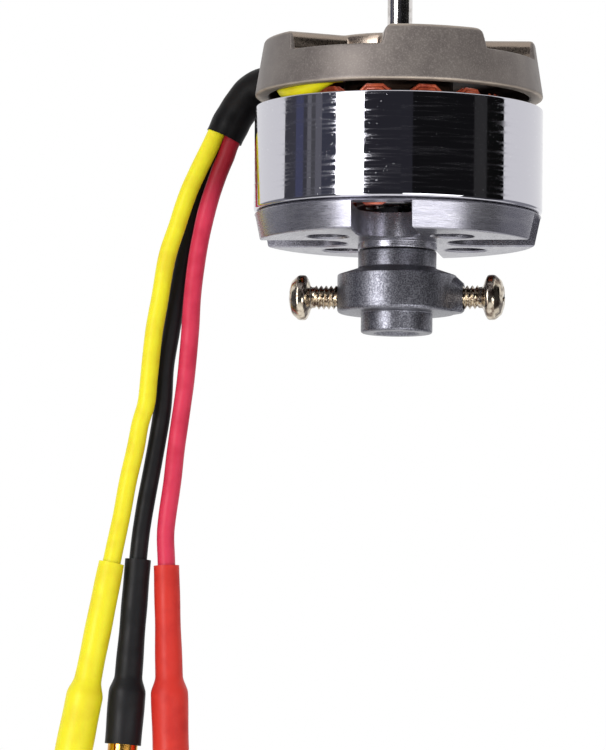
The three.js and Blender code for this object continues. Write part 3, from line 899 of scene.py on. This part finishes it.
def channel_cutter():
    """Cuts the way out for the leads through the rim."""
    half = LEAD_CHANNEL.width / 2
    corner = LEAD_CHANNEL.corner
    inner, outer = -LEAD_CHANNEL.inner, -MOUNT_RADIUS - OVERRUN
    mouth = [(-half, inner, corner), (half, inner, corner), (half, outer), (-half, outer)]
    channel = plate("channel", rounded(mouth, 0), MOUNT_BOTTOM - OVERRUN, MOUNT_TOP + SHORT_OVERRUN)
    return turned_to(channel, LEAD_CHANNEL.bearing)


def mount_cutters():
    """A notch after each lug, a window under it where no lead passes, and a screw hole; then the channel."""
    cutters = []
    for place, lug in enumerate(LUGS):
        after = dict(LUGS[(place + 1) % len(LUGS)])
        if after["bearing"] < lug["bearing"]:
            after["bearing"] += 360
        cutters.append(notch_cutter(lug, after))
        middle = (lug["bearing"] + after["bearing"]) / 2
        if abs(middle - 360 - LEAD_CHANNEL.bearing) > COOLING_WINDOW.half:
            cutters.append(window_cutter(middle))
        screw_at = at(MOUNT_SCREWS.circle, LUGS[0]["bearing"] + 90 * place)
        cutters.append(hole_cutter(MOUNT_SCREWS.radius, MOUNT.plate_bottom, MOUNT_TOP, screw_at))
    return [*cutters, channel_cutter()]


def motor_mount():
    """The casting: turned first, then cut, then given an even mesh so that its corners look cast."""
    tube_hole = TUBE_RADIUS + FIT
    profile = [
        (tube_hole, MOUNT.boss_bottom),
        (MOUNT.boss_radius, MOUNT.boss_bottom),
        (MOUNT.boss_radius, MOUNT.plate_bottom),
        (MOUNT.skirt_inner, MOUNT.plate_bottom, 0.5),
        (MOUNT.skirt_inner, MOUNT_BOTTOM, 0.05),
        (MOUNT_RADIUS - MOUNT.draft, MOUNT_BOTTOM, 0.05),
        (MOUNT_RADIUS, MOUNT.rim_height),
        (MOUNT.top_radius, MOUNT_TOP, 0.35),
        (MOUNT.shaft_opening, MOUNT_TOP),
        (MOUNT.shaft_opening, MOUNT.tube_ledge),
        (tube_hole, MOUNT.tube_ledge),
    ]
    body = lathe("motor_mount_casting", rounded(profile, MOUNT.edge), STEPS.mount)
    cut(body, *mount_cutters())
    grid = body.modifiers.new("even_grid", "REMESH")
    grid.mode = "VOXEL"
    grid.voxel_size = MOUNT.grid
    eased = body.modifiers.new("eased", "SMOOTH")
    eased.factor = 0.5
    eased.iterations = MOUNT.easing
    return settle(body)


def plain_ring(name, inner, outer, bottom, top, edge, steps):
    """A turned ring of rectangular section."""
    profile = [(inner, bottom), (outer, bottom), (outer, top), (inner, top)]
    return lathe(name, rounded(profile, edge), steps)


def bearing_outer_ring(name, bottom, top):
    """Outer ring with a shield at each end."""
    shield_top = top - BEARING.shield
    shield_bottom = bottom + BEARING.shield
    bore = BEARING.shield_bore
    profile = [
        (bore, bottom),
        (BEARING.outer - FIT, bottom, 0.15),
        (BEARING.outer - FIT, top, 0.15),
        (bore, top),
        (bore, shield_top),
        (BEARING.race, shield_top),
        (BEARING.race, shield_bottom),
        (bore, shield_bottom),
    ]
    return lathe(name + "_bearing_outer", rounded(profile, 0.03, steps=3), STEPS.bearing)


def bearing_inner_ring(name, bottom, top):
    """Inner ring with a groove for the balls."""
    middle = (top + bottom) / 2
    groove = BALLS.radius + FIT
    profile = [
        (SHAFT_RADIUS + FIT, bottom),
        (BEARING.inner, bottom),
        (BEARING.inner, middle - groove),
        (BEARING.inner - BEARING.groove_depth, middle),
        (BEARING.inner, middle + groove),
        (BEARING.inner, top),
        (SHAFT_RADIUS + FIT, top),
    ]
    return lathe(name + "_bearing_inner", rounded(profile, 0.05, steps=3), STEPS.bearing)


def bearing_balls(name, middle):
    """Balls in their cage."""
    circle, wall, half = BALLS.circle, BALLS.cage_wall, BALLS.cage_height / 2
    parts = [plain_ring("cage", circle - wall, circle + wall, middle - half, middle + half, 0.03, STEPS.cage)]
    for ball in range(BALLS.count):
        sphere = bmesh.new()
        bmesh.ops.create_icosphere(sphere, subdivisions=3, radius=BALLS.radius)
        mesh = bpy.data.meshes.new("ball")
        sphere.to_mesh(mesh)
        sphere.free()
        piece = bpy.data.objects.new("ball", mesh)
        centre = at(circle, 360 * ball / BALLS.count, middle)
        parts.append(moved(piece, Matrix.Translation(centre)))
    return join(name + "_bearing_ball_set", parts)


def bearing_tube():
    bore = BEARING.outer
    return plain_ring("bearing_tube_turned", bore, TUBE_RADIUS, TUBE_BOTTOM, TUBE_TOP, 0.12, STEPS.tube)


def shaft_clip():
    """A flat ring with an opening, snapped on the shaft."""
    start, end = CLIP_OPENING / 2, 360 - CLIP_OPENING / 2
    outer = arc(CLIP_RADIUS, start, end, ARC_STEPS.clip_outer)
    inner = arc(SHAFT_RADIUS + FIT, end, start, ARC_STEPS.clip_inner)
    return soften(plate("shaft_spring_clip", [*outer, *inner], CLIP_BOTTOM, CLIP_TOP), CLIP_EDGE)


def shaft_washer():
    bore, steps = SHAFT_RADIUS + FIT, STEPS.washer
    return plain_ring("shaft_thrust_washer", bore, WASHER_RADIUS, WASHER_BOTTOM, WASHER_TOP, 0.04, steps)


# ---- Stator ----


def lamination_outline():
    """The hub with its teeth, each of which widens into a tip at the rim."""
    outline = []
    half = STATOR.tooth_width / 2

    def corner(distance):
        return math.degrees(math.asin(half / distance))

    for tooth in range(STATOR.teeth):
        bearing = STATOR.first_tooth + 360 * tooth / STATOR.teeth
        hub, tip = corner(STATOR.hub), corner(STATOR.tip_inner)
        outline.append(at(STATOR.hub, bearing - hub).xy)
        outline.append(at(STATOR.tip_inner, bearing - tip).xy)
        start, end = bearing - STATOR.tip_half, bearing + STATOR.tip_half
        outline += arc(STATOR_RADIUS, start, end, ARC_STEPS.tooth)
        outline.append(at(STATOR.tip_inner, bearing + tip).xy)
        outline.append(at(STATOR.hub, bearing + hub).xy)
    return outline


def stator_core():
    """A stack of thin laminations."""
    outline = lamination_outline()
    last_turn = 360 - 360 / STEPS.stator
    hole = arc(STATOR.bore, 0, last_turn, STEPS.stator - 1)
    pitch = (STATOR_TOP - STATOR_BOTTOM) / STATOR.sheets
    half_gap = STATOR.sheet_gap / 2
    sheets = []
    for sheet in range(STATOR.sheets):
        bottom = STATOR_BOTTOM + pitch * sheet
        sheets.append(plate("sheet", outline, bottom + half_gap, bottom + pitch - half_gap, hole))
    return join("stator_laminations", sheets)


def coil_route(seed):
    """The way of one wire round its tooth, layer on layer, in the tooth's own frame."""
    shuffle = random.Random(seed)
    middle = (STATOR_TOP + STATOR_BOTTOM) / 2
    half_height = (STATOR_TOP - STATOR_BOTTOM) / 2 + WIRE.liner + WIRE.radius
    points_in_turn = WIRE.points_in_turn
    points = []
    for layer, start in enumerate(WIRE.starts):
        across = WIRE.first_layer + WIRE.layer_step * layer
        upright = half_height + WIRE.layer_step * layer
        steps = int((WIRE.outer - start) / (2 * WIRE.radius)) * points_in_turn
        begin, end = (start, WIRE.outer) if layer % 2 == 0 else (WIRE.outer, start)
        for step in range(steps):
            angle = 2 * math.pi * step / points_in_turn
            reach = begin + (end - begin) * step / steps
            side, rise = math.cos(angle), math.sin(angle)
            x = across * math.copysign(abs(side) ** WIRE.side_power, side)
            z = upright * math.copysign(abs(rise) ** WIRE.end_power, rise)
            z += WIRE.bulge * rise * abs(rise)
            at_head = abs(rise) > 0.5
            loose = WIRE.loose if at_head else WIRE.tight
            y = -reach - WIRE.lean * abs(rise) ** 3 * layer + shuffle.uniform(-loose, loose)
            points.append(Vector((x, y, middle + z + shuffle.uniform(-loose, 0))))
    return points


def coil(name, bearing, seed):
    """One winding of enamelled wire, laid on its tooth."""
    route = coil_route(seed)
    rings = section_rings(route, lambda share: (WIRE.radius, WIRE.radius), WIRE.sides, (0, -1, 0))
    return turned_to(loft(name, rings), bearing)


# ---- Rotor ----


def flux_ring():
    inner = RING_RADIUS - RING_WALL
    top = RING_TOP - RING_SETBACK
    profile = [
        (inner, RING_BOTTOM, 0.08),
        (RING_RADIUS, RING_BOTTOM, 0.34),
        (RING_RADIUS, top, 0.16),
        (inner, top, 0.15),
    ]
    return lathe("flux_ring_chromed", rounded(profile, 0, steps=6), STEPS.ring)


def magnet(name, bearing):
    half = MAGNETS.half
    outer = arc(MAGNET_RADIUS, bearing - half, bearing + half, ARC_STEPS.magnet)
    inner = arc(MAGNETS.inner, bearing + half, bearing - half, ARC_STEPS.magnet)
    return soften(plate(name, [*outer, *inner], MAGNET_BOTTOM, MAGNET_TOP), MAGNETS.edge)


def slot_cutter(bearing):
    """A straight slot that runs in from the rim to a full-round end near the hub."""
    half = SLOT.width / 2
    centre = -SLOT.inner_radius - half
    outside = -RING_RADIUS - OVERRUN
    face, chamfer = BELL.face, SLOT.chamfer
    levels = ((BELL_BOTTOM - OVERRUN, chamfer), (face, chamfer), (face + chamfer, 0), (BELL.slot_top, 0))
    steps = ARC_STEPS.slot
    rings = []
    for z, flare in levels:
        size = half + flare
        ring = [Vector((-size, outside, z)), Vector((size, outside, z))]
        for step in range(steps + 1):
            angle = math.pi * step / steps
            ring.append(Vector((size * math.cos(angle), centre + size * math.sin(angle), z)))
        rings.append(ring)
    return turned_to(loft("slot", rings), bearing)


def end_bell():
    """The rotor's floor, with slots and holes, a spigot inside the ring and a spacer on the shaft."""
    bore = SHAFT_RADIUS + FIT
    spigot = RING_RADIUS - RING_WALL - FIT
    profile = [
        (bore, BELL_BOTTOM),
        (BELL.boss_radius, BELL_BOTTOM, 0.12),
        (BELL.boss_radius, BELL.face, 0.1),
        (BELL.face_radius, BELL.face, 0.2),
        (BELL.radius, BELL.slot_top, 0.05),
        (RING_RADIUS - BELL.tuck, BELL.seam, 0.03),
        (spigot, BELL.seam, 0.03),
        (spigot, BELL_TOP, 0.15),
        (BELL.spigot_inner, BELL_TOP),
        (BELL.spigot_inner, BELL.floor_top, 0.4),
        (BELL.spacer_foot, BELL.floor_top, 0.4),
        (BELL.spacer_radius, BELL.spacer_top),
        (bore, BELL.spacer_top),
    ]
    body = lathe("end_bell_turned", rounded(profile, 0.06), STEPS.bell)
    cutters = []
    for place in range(SLOT.count):
        bearing = ROTOR_BEARING + 360 * place / SLOT.count
        cutters.append(slot_cutter(bearing))
        hole_at = at(BELL_HOLE.circle, bearing + 180 / SLOT.count)
        cutters.append(hole_cutter(BELL_HOLE.radius, BELL.face, BELL.floor_top, hole_at))
    return cut(body, *cutters)


def screw_boss(bearing):
    """The small cone round a collar screw, trimmed to the collar's height."""
    trim = SCREW_BOSS.trim
    cone = (SCREW_BOSS.foot_radius, SCREW_BOSS.foot), (SCREW_BOSS.mouth_radius, SCREW_BOSS.mouth)
    boss = lay_along(lathe("boss", cone, STEPS.boss, closed=False), bearing, SCREW.height)
    slab = (RING_RADIUS, SAVER.collar_bottom + trim), (RING_RADIUS, SAVER.shoulder_bottom - trim)
    return combine(boss, "INTERSECT", [lathe("slab", slab, STEPS.boss, closed=False)])


def screw_hole_cutter(bearing, mouth):
    """Drills a collar screw's hole. The mouth is its outer end, as a distance from the axis."""
    radius, foot = SCREW.hole, mouth - SCREW.hole_chamfer
    flare = 0.4
    profile = (radius, SCREW.hole_end), (radius, foot), (radius + flare, foot + flare)
    return lay_along(lathe("drill", profile, STEPS.drill, closed=False), bearing, SCREW.height)


def prop_saver():
    """Neck, collar and nose in one turned piece, with two screw holes and a cone at the right one."""
    bore = SHAFT_RADIUS + FIT
    profile = [
        (bore, SAVER.mouth_top),
        (SAVER.mouth_radius, SAVER_BOTTOM, 0.05),
        (SAVER.nose_radius, SAVER_BOTTOM, 0.22),
        (SAVER.nose_radius, SAVER.collar_bottom, 0.12),
        (SAVER.collar_radius, SAVER.collar_bottom, 0.3),
        (SAVER.collar_radius, SAVER.shoulder_bottom, 0.12),
        (SAVER.neck_radius, SAVER.shoulder_top, 0.15),
        (SAVER.neck_radius, SAVER_TOP, 0.1),
        (bore, SAVER_TOP),
    ]
    body = lathe("prop_saver_turned", rounded(profile, 0.06), STEPS.saver)
    right = ROTOR_BEARING + 90
    combine(body, "UNION", [screw_boss(right)])
    mouths = (right, SCREW_BOSS.mouth), (right + 180, SAVER.collar_radius)
    return cut(body, *(screw_hole_cutter(bearing, mouth) for bearing, mouth in mouths))


def thread_rings():
    """Rings of a single-start V thread, from the screw's tip to the end of its thread."""
    rings = []
    steps = STEPS.screw
    rows_in_turn = SCREW.rows_in_turn
    flat = SCREW.thread_flat
    rows = round((SCREW.thread_end - SCREW.tip) / SCREW.pitch * rows_in_turn)
    for row in range(rows + 1):
        z = SCREW.tip + SCREW.pitch * row / rows_in_turn
        lead_in = min(1, (z - SCREW.tip) / SCREW.pitch + SCREW.lead_in)
        ring = []
        for step in range(steps):
            phase = (row / rows_in_turn + step / steps) % 1
            height = min(1, max(0, (1 - abs(2 * phase - 1) - flat) / (1 - 2 * flat))) * lead_in
            radius = SCREW.minor + (SCREW.major - SCREW.minor) * height
            ring.append(at(radius, 360 * step / steps, z))
        rings.append(ring)
    return rings


def cross_recess_cutters():
    """Two blades that narrow towards the floor of the recess."""
    levels = (
        (SCREW.head_outer - RECESS.depth, RECESS.floor_reach, RECESS.floor_half),
        (SCREW.head_outer + RECESS.above, RECESS.mouth_reach, RECESS.mouth_half),
    )
    corners = ((-1, -1), (1, -1), (1, 1), (-1, 1))
    blades = []
    for turn in RECESS.turns:
        blade = [[Vector((x * reach, y * half, z)) for x, y in corners] for z, reach, half in levels]
        blades.append(turned_to(loft("blade", blade), turn))
    return blades


def collar_screw(name, bearing):
    """A pan-head M2 screw with a cross recess. Its head is given as radius, place and corner radius."""
    head = [
        (SCREW.minor, SCREW.thread_end),
        (SCREW.major - 0.05, SCREW.head_inner - 0.2, 0.3),
        (SCREW.head_radius - 0.35, SCREW.head_inner, 0.3),
        (SCREW.head_radius, SCREW.head_inner + 0.2, 0.3),
        (SCREW.head_radius, SCREW.head_inner + 0.75, 0.4),
        (SCREW.head_radius - 0.45, SCREW.head_outer - 0.2, 0.5),
        (SCREW.head_radius - 1.1, SCREW.head_outer, 0.8),
        (0.3, SCREW.head_outer),
    ]
    head_rings = turned_rings(rounded(head, 0.2, closed=False, steps=6)[1:], STEPS.screw)
    screw = cut(loft(name, [*thread_rings(), *head_rings]), *cross_recess_cutters())
    return lay_along(screw, bearing, SCREW.height)


def shaft():
    profile = [
        (SHAFT_RADIUS - SHAFT_CHAMFER, SHAFT_BOTTOM),
        (SHAFT_RADIUS, SHAFT_BOTTOM + SHAFT_CHAMFER),
        (SHAFT_RADIUS, SHAFT_TOP - SHAFT_CHAMFER),
        (SHAFT_RADIUS - SHAFT_CHAMFER, SHAFT_TOP),
    ]
    return lathe("shaft_ground", profile, STEPS.shaft, closed=False)


# ---- Leads and connectors ----


def open_tube(name, route, size_at, wall):
    """A tube with open ends. size_at takes a share of the length, and how far in from the outside."""
    outside = section_rings(route, size_at, TUBE_SIDES)
    inside = section_rings(route, lambda share: size_at(share, wall), TUBE_SIDES)
    return loft(name, [*outside, *reversed(inside)], closed=True)


def bundle_sleeve():
    """Shrink tube over the three leads where they leave the motor, open at its outer end."""
    route = smooth_route(in_mm(BUNDLE_ROUTE), SPACING.bundle)
    fast, slow = BUNDLE.waves

    def size_at(share, inwards=0.0):
        swell = BUNDLE.start + (1 - BUNDLE.start) * min(1, share / BUNDLE.full_at)
        size = swell + BUNDLE.wrinkle * math.sin(fast * share) * math.sin(slow * share)
        return BUNDLE.wide * size - inwards, BUNDLE.thin * size - inwards

    return open_tube("lead_bundle_shrink_tube", route, size_at, BUNDLE.wall)


def lead_path(lead):
    """The lead's visible route, with a stretch inside the bundle sleeve and one inside its connector."""
    end, connector_end = Vector(lead["route"][-1]), Vector(lead["connector_end"])
    hidden = end + (connector_end - end).normalized() * (LEAD_INSIDE_CONNECTOR * MM)
    return smooth_route(in_mm([*lead["inside_bundle"], *lead["route"], hidden]), SPACING.lead)


def lead_tube(name, route, thin_axis=(0, 1, 0)):
    """One insulated lead, slightly uneven in thickness."""

    def size_at(share):
        place = route[round(share * (len(route) - 1))]
        size = LEAD_RADIUS * (1 + LEAD_WAVER.depth * noise.noise(place / LEAD_WAVER.size))
        return size, size

    return loft(name, section_rings(route, size_at, LEAD_SIDES, thin_axis))


def connector_line(lead):
    """Where the straight connector sleeve of a lead starts and ends."""
    return in_mm((lead["route"][-1], lead["connector_end"]))


def connector_sleeve(name, lead, seed):
    """Shrink tube that holds a lead in its connector: thin on the lead, wider on the connector."""
    start, end = connector_line(lead)
    rows = round((end - start).length / SPACING.sleeve)
    route = [start.lerp(end, row / rows) for row in range(rows + 1)]

    def size_at(share, inwards=0.0):
        way = min(1, max(0, (share - lead["shoulder"]) / SHRINK.widening))
        shoulder = way * way * (3 - 2 * way)
        swell = SHRINK.swell * share * (1 - shoulder)
        size = SHRINK.thin + swell + (SHRINK.wide - SHRINK.thin) * shoulder - inwards
        for depth, waves, shift in SHRINK.slumps:
            size += depth * math.sin(waves * share + shift * seed)
        return size, size * SHRINK.flatness

    return open_tube(name, route, size_at, SHRINK.wall)


def bullet_connector(name, lead):
    """A hollow gold bullet with four spring slots in its mouth."""
    radius, bore, length = BULLET.radius, BULLET.bore, BULLET.length
    closed_end, bottom = BULLET.closed_end, BULLET.length - BULLET.bore_depth
    neck, slope = radius - BULLET.groove_depth, BULLET.groove_slope
    groove_start, groove_end = (length - place for place in BULLET.groove)
    profile = [
        (closed_end, 0),
        (radius, 0, 0.1),
        (radius, groove_start, 0.02),
        (neck, groove_start + slope, 0.02),
        (neck, groove_end - slope, 0.02),
        (radius, groove_end, 0.02),
        (radius, length, 0.12),
        (bore, length, 0.08),
        (bore, bottom),
        (closed_end, bottom),
    ]
    body = lathe(name, rounded(profile, 0.04, closed=False), STEPS.bullet)
    half, reach = BULLET.slot / 2, radius + OVERRUN
    corners = ((-half, -reach), (half, -reach), (half, reach), (-half, reach))
    slots = []
    for turn in BULLET.slot_turns:
        slot = plate("slot", corners, length - BULLET.slot_depth, length + OVERRUN)
        slots.append(turned_to(slot, turn))
    cut(body, *slots)
    start, end = connector_line(lead)
    direction = (end - start).normalized()
    turn = direction.to_track_quat("Z", "Y").to_matrix().to_4x4()
    foot = end + direction * (BULLET.proud - length)
    return moved(body, Matrix.Translation(foot) @ turn)


# ---- Studio ----

STUDIO_RADIUS = 0.6
# Panels around the motor: bearings from and to, elevations from and to, brightness and tint.
PANELS = {
    "front_softbox": (-51, -28.5, -10, 14, 10, (1, 1, 1)),
    "high_softbox": (-51, -28.5, 14, 45, 3.2, (1, 1, 1)),
    "low_softbox_left": (-51, -28.5, -36, -10, 4.4, (1, 1, 1)),
    "side_flag": (-103, -90, -10, 40, 0.07, (1, 1, 1.2)),
    "side_glow": (-90, -82, -10, 40, 0.13, (0.7, 0.75, 1.3)),
    "side_gap": (-82, -78, -10, 40, 0.07, (1, 1, 1.2)),
    "side_strip": (-78, -74, -10, 40, 0.2, (1, 1, 1.1)),
    "side_gap_2": (-74, -70, -10, 40, 0.1, (1, 1, 1.1)),
    "side_strip_2": (-70, -64, -10, 40, 0.17, (1, 1, 1.15)),
    "side_edge": (-64, -51, -10, 40, 0.07, (0.9, 0.95, 1.3)),
    "low_side_flag": (-103, -51, -40, -10, 0.09, (1, 1, 1.1)),
    "low_flag_far_left": (-145, -103, -35, -1, 0.3, (1, 1, 1.1)),
    "front_flag_left": (-28.5, 10, -10, 40, 0.03, (1, 1, 1.25)),
    "front_flag": (10, 61, -10, 40, 0.009, (1, 1, 1.1)),
    "front_strip": (61, 73, -10, 40, 0.04, (1, 1, 1)),
    "right_flag": (73, 91, -10, 40, 0.006, (1, 1, 1)),
    "low_flag_left": (-28.5, 3, -32, -10, 0.05, (1, 1, 1.1)),
    "low_softbox": (3, 52, -32, -10, 4.2, (1, 1, 1)),
    "low_flag_right": (52, 91, -40, -10, 0.05, (1, 1, 1.1)),
    "low_flag_far_right": (91, 145, -35, -1, 0.3, (1, 1, 1.1)),
}
PANEL_STEP = 3  # degrees
LAMP_PANEL = 1  # a panel brighter than this also lights dull surfaces
WORLD_BRIGHTNESS = 1.0
FLOOR = Sizes(top=-0.7, thickness=0.01, half_width=2.5)  # metres
GAP_LAMP = Sizes(bearing=6, elevation=-5, distance=0.4, beam=3.6, radius=0.004, energy=5.5, blend=0.6)


def studio_panel(name, start, end, low, high, strength, tint):
    """A curved panel that the motor reflects. The camera looks through it."""
    middle = Vector((0, 0, (RING_TOP + RING_BOTTOM) / 2 * MM))
    columns = max(2, round(abs(end - start) / PANEL_STEP))
    vertices = []
    for column in range(columns + 1):
        bearing = start + (end - start) * column / columns
        for elevation in (low, high):
            rise = STUDIO_RADIUS * math.tan(math.radians(elevation))
            vertices.append(middle + at(STUDIO_RADIUS, bearing, rise))
    faces = [(2 * c, 2 * c + 2, 2 * c + 3, 2 * c + 1) for c in range(columns)]
    mesh = bpy.data.meshes.new(name)
    mesh.from_pydata(vertices, [], faces)
    panel = add_object(name, mesh)
    glow = bpy.data.materials.new(name)
    glow.use_nodes = True
    nodes = glow.node_tree.nodes
    nodes.clear()
    emission = nodes.new("ShaderNodeEmission")
    emission.inputs["Color"].default_value = (*tint, 1)
    emission.inputs["Strength"].default_value = strength
    output = nodes.new("ShaderNodeOutputMaterial")
    glow.node_tree.links.new(emission.outputs[0], output.inputs["Surface"])
    mesh.materials.append(glow)
    panel.visible_camera = False
    panel.visible_diffuse = strength > LAMP_PANEL


def gap_light():
    """A narrow soft lamp that reaches the windings through the gap under the mount."""
    lamp = bpy.data.lights.new("gap_lamp", "SPOT")
    lamp.energy = GAP_LAMP.energy
    lamp.spot_size = math.radians(GAP_LAMP.beam)
    lamp.spot_blend = GAP_LAMP.blend
    lamp.shadow_soft_size = GAP_LAMP.radius
    light = add_object("gap_lamp", lamp)
    gap = Vector((0, 0, (MOUNT_BOTTOM + RING_TOP) / 2 * MM))
    elevation = math.radians(GAP_LAMP.elevation)
    flat = at(GAP_LAMP.distance * math.cos(elevation), GAP_LAMP.bearing)
    light.location = gap + flat + Vector((0, 0, GAP_LAMP.distance * math.sin(elevation)))
    light.rotation_euler = (gap - light.location).to_track_quat("-Z", "Y").to_euler()
    light.visible_glossy = False


def make_floor():
    reach = FLOOR.half_width
    corners = [(-reach, -reach), (reach, -reach), (reach, reach), (-reach, reach)]
    floor = plate("floor", corners, FLOOR.top - FLOOR.thickness, FLOOR.top)
    paint = Look("floor_paint", roughness=0.9)
    tone = paint.noise(300, 2)
    paint.set("Base Color", paint.blend(tone, (240, 240, 240), (246, 246, 245)))
    floor.data.materials.append(paint.material)


def make_studio():
    for name, values in PANELS.items():
        studio_panel(name, *values)
    gap_light()
    world = bpy.data.worlds.new("studio")
    world.use_nodes = True
    background = world.node_tree.nodes["Background"]
    background.inputs["Color"].default_value = (1, 1, 1, 1)
    background.inputs["Strength"].default_value = WORLD_BRIGHTNESS
    bpy.context.scene.world = world
    bpy.context.scene.view_settings.view_transform = "Standard"
    make_floor()


# ---- Assembly ----


def add_leads():
    """The bundle sleeve, and each lead with its sleeve, its connector and its tail inside the motor."""
    sleeve_looks = {
        "yellow": insulation("yellow_insulation", (196, 187, 26), (188, 172, 24), 0.36),
        "black": insulation("black_insulation", (23, 22, 24), (15, 15, 17), 0.38, 0.16),
        "red": insulation("red_heat_shrink", (173, 40, 31), (160, 30, 24), 0.36),
    }
    # The red lead gets painted shade near the motor.
    red_lead = insulation("red_insulation", (178, 43, 68), (164, 30, 56), 0.4, painted_shade_tone=(117, 11, 25))
    lead_looks = {**sleeve_looks, "red": red_lead}
    sleeve_slots = {"yellow": "yellow_insulation", "black": "black_insulation", "red": "red_heat_shrink"}
    black_shrink = insulation("black_heat_shrink", (9, 8, 9), (17, 14, 13), 0.42, 0.1, 0.6)
    gold_look = gold()
    bundle = bundle_sleeve()
    finish(bundle, "stator", "black_heat_shrink", black_shrink, "lead_bundle_sleeve")
    for number, (tone, lead) in enumerate(LEADS.items()):
        path = lead_path(lead)
        cord = lead_tube("motor_lead_" + tone, path)
        finish(cord, "stator", tone + "_insulation", lead_looks[tone], "lead_" + tone)
        sleeve = connector_sleeve("connector_shrink_" + tone, lead, number)
        finish(sleeve, "stator", sleeve_slots[tone], sleeve_looks[tone], "connector_sleeve_" + tone)
        bullet = bullet_connector("bullet_" + tone, lead)
        finish(bullet, "stator", "gold_plating", gold_look, "bullet_connector_" + tone)
        tail_route = smooth_route(in_mm(lead["tail"]), SPACING.tail)
        tail = lead_tube("winding_lead_out_" + tone, tail_route, (0, 0, 1))
        finish(tail, "stator", tone + "_insulation", lead_looks[tone], "winding_tail_" + tone)


def add_mount_and_bearings():
    ring_look = steel("bearing_steel", (176, 177, 182), 0.2)
    ball_look = steel("ball_steel", (214, 214, 218), 0.06)
    finish(motor_mount(), "stator", "mount_casting", cast_metal(), "motor_mount", sharp=60)
    finish(bearing_tube(), "stator", "tube_steel", steel("tube_steel", (182, 182, 186), 0.26), "bearing_tube")
    for name in ("upper", "lower"):
        top = extent(name + "_bearing_outer_ring")[2]
        bottom = top - BEARING.height
        outer = bearing_outer_ring(name, bottom, top)
        finish(outer, "stator", "bearing_steel", ring_look, name + "_bearing_outer_ring")
        inner = bearing_inner_ring(name, bottom, top)
        finish(inner, "rotor", "bearing_steel", ring_look, name + "_bearing_inner_ring")
        balls = bearing_balls(name, (top + bottom) / 2)
        finish(balls, name + "_ball_set", "bearing_steel", ball_look, name + "_bearing_balls")


def add_stator():
    finish(stator_core(), "stator", "lamination_enamel", enamel(), "stator_core")
    copper_look = copper()
    for tooth in range(STATOR.teeth):
        number = f"{tooth + 1:02d}"
        winding = coil("winding_" + number, STATOR.first_tooth + 360 * tooth / STATOR.teeth, tooth)
        finish(winding, "stator", "copper_wire", copper_look, "coil_" + number, sharp=80)


def add_rotor():
    finish(flux_ring(), "rotor", "chrome_plating", chrome(), "flux_ring")
    magnet_look = magnet_plating()
    for pole in range(MAGNETS.count):
        number = f"{pole + 1:02d}"
        arc_magnet = magnet("arc_magnet_" + number, ROTOR_BEARING + 360 * pole / MAGNETS.count)
        finish(arc_magnet, "rotor", "magnet_plating", magnet_look, "magnet_" + number)
    finish(end_bell(), "rotor", "gunmetal_anodising", bell_gunmetal(), "end_bell")
    finish(prop_saver(), "rotor", "gunmetal_anodising", saver_gunmetal(), "prop_saver")
    nickel_look = nickel()
    for side, turn in (("right", 90), ("left", -90)):
        screw = collar_screw("pan_head_screw_" + side, ROTOR_BEARING + turn)
        finish(screw, "rotor", "nickel_plating", nickel_look, "collar_screw_" + side)
    finish(shaft(), "rotor", "ground_steel", steel("ground_steel", (216, 212, 210), 0.1), "shaft")
    finish(shaft_clip(), "rotor", "spring_steel", steel("spring_steel", (120, 120, 126), 0.25), "shaft_clip")
    washer_look = steel("washer_steel", (200, 198, 196), 0.22)
    finish(shaft_washer(), "rotor", "ground_steel", washer_look, "shaft_washer")


make_camera()
add_leads()
add_mount_and_bearings()
add_stator()
add_rotor()
make_studio()
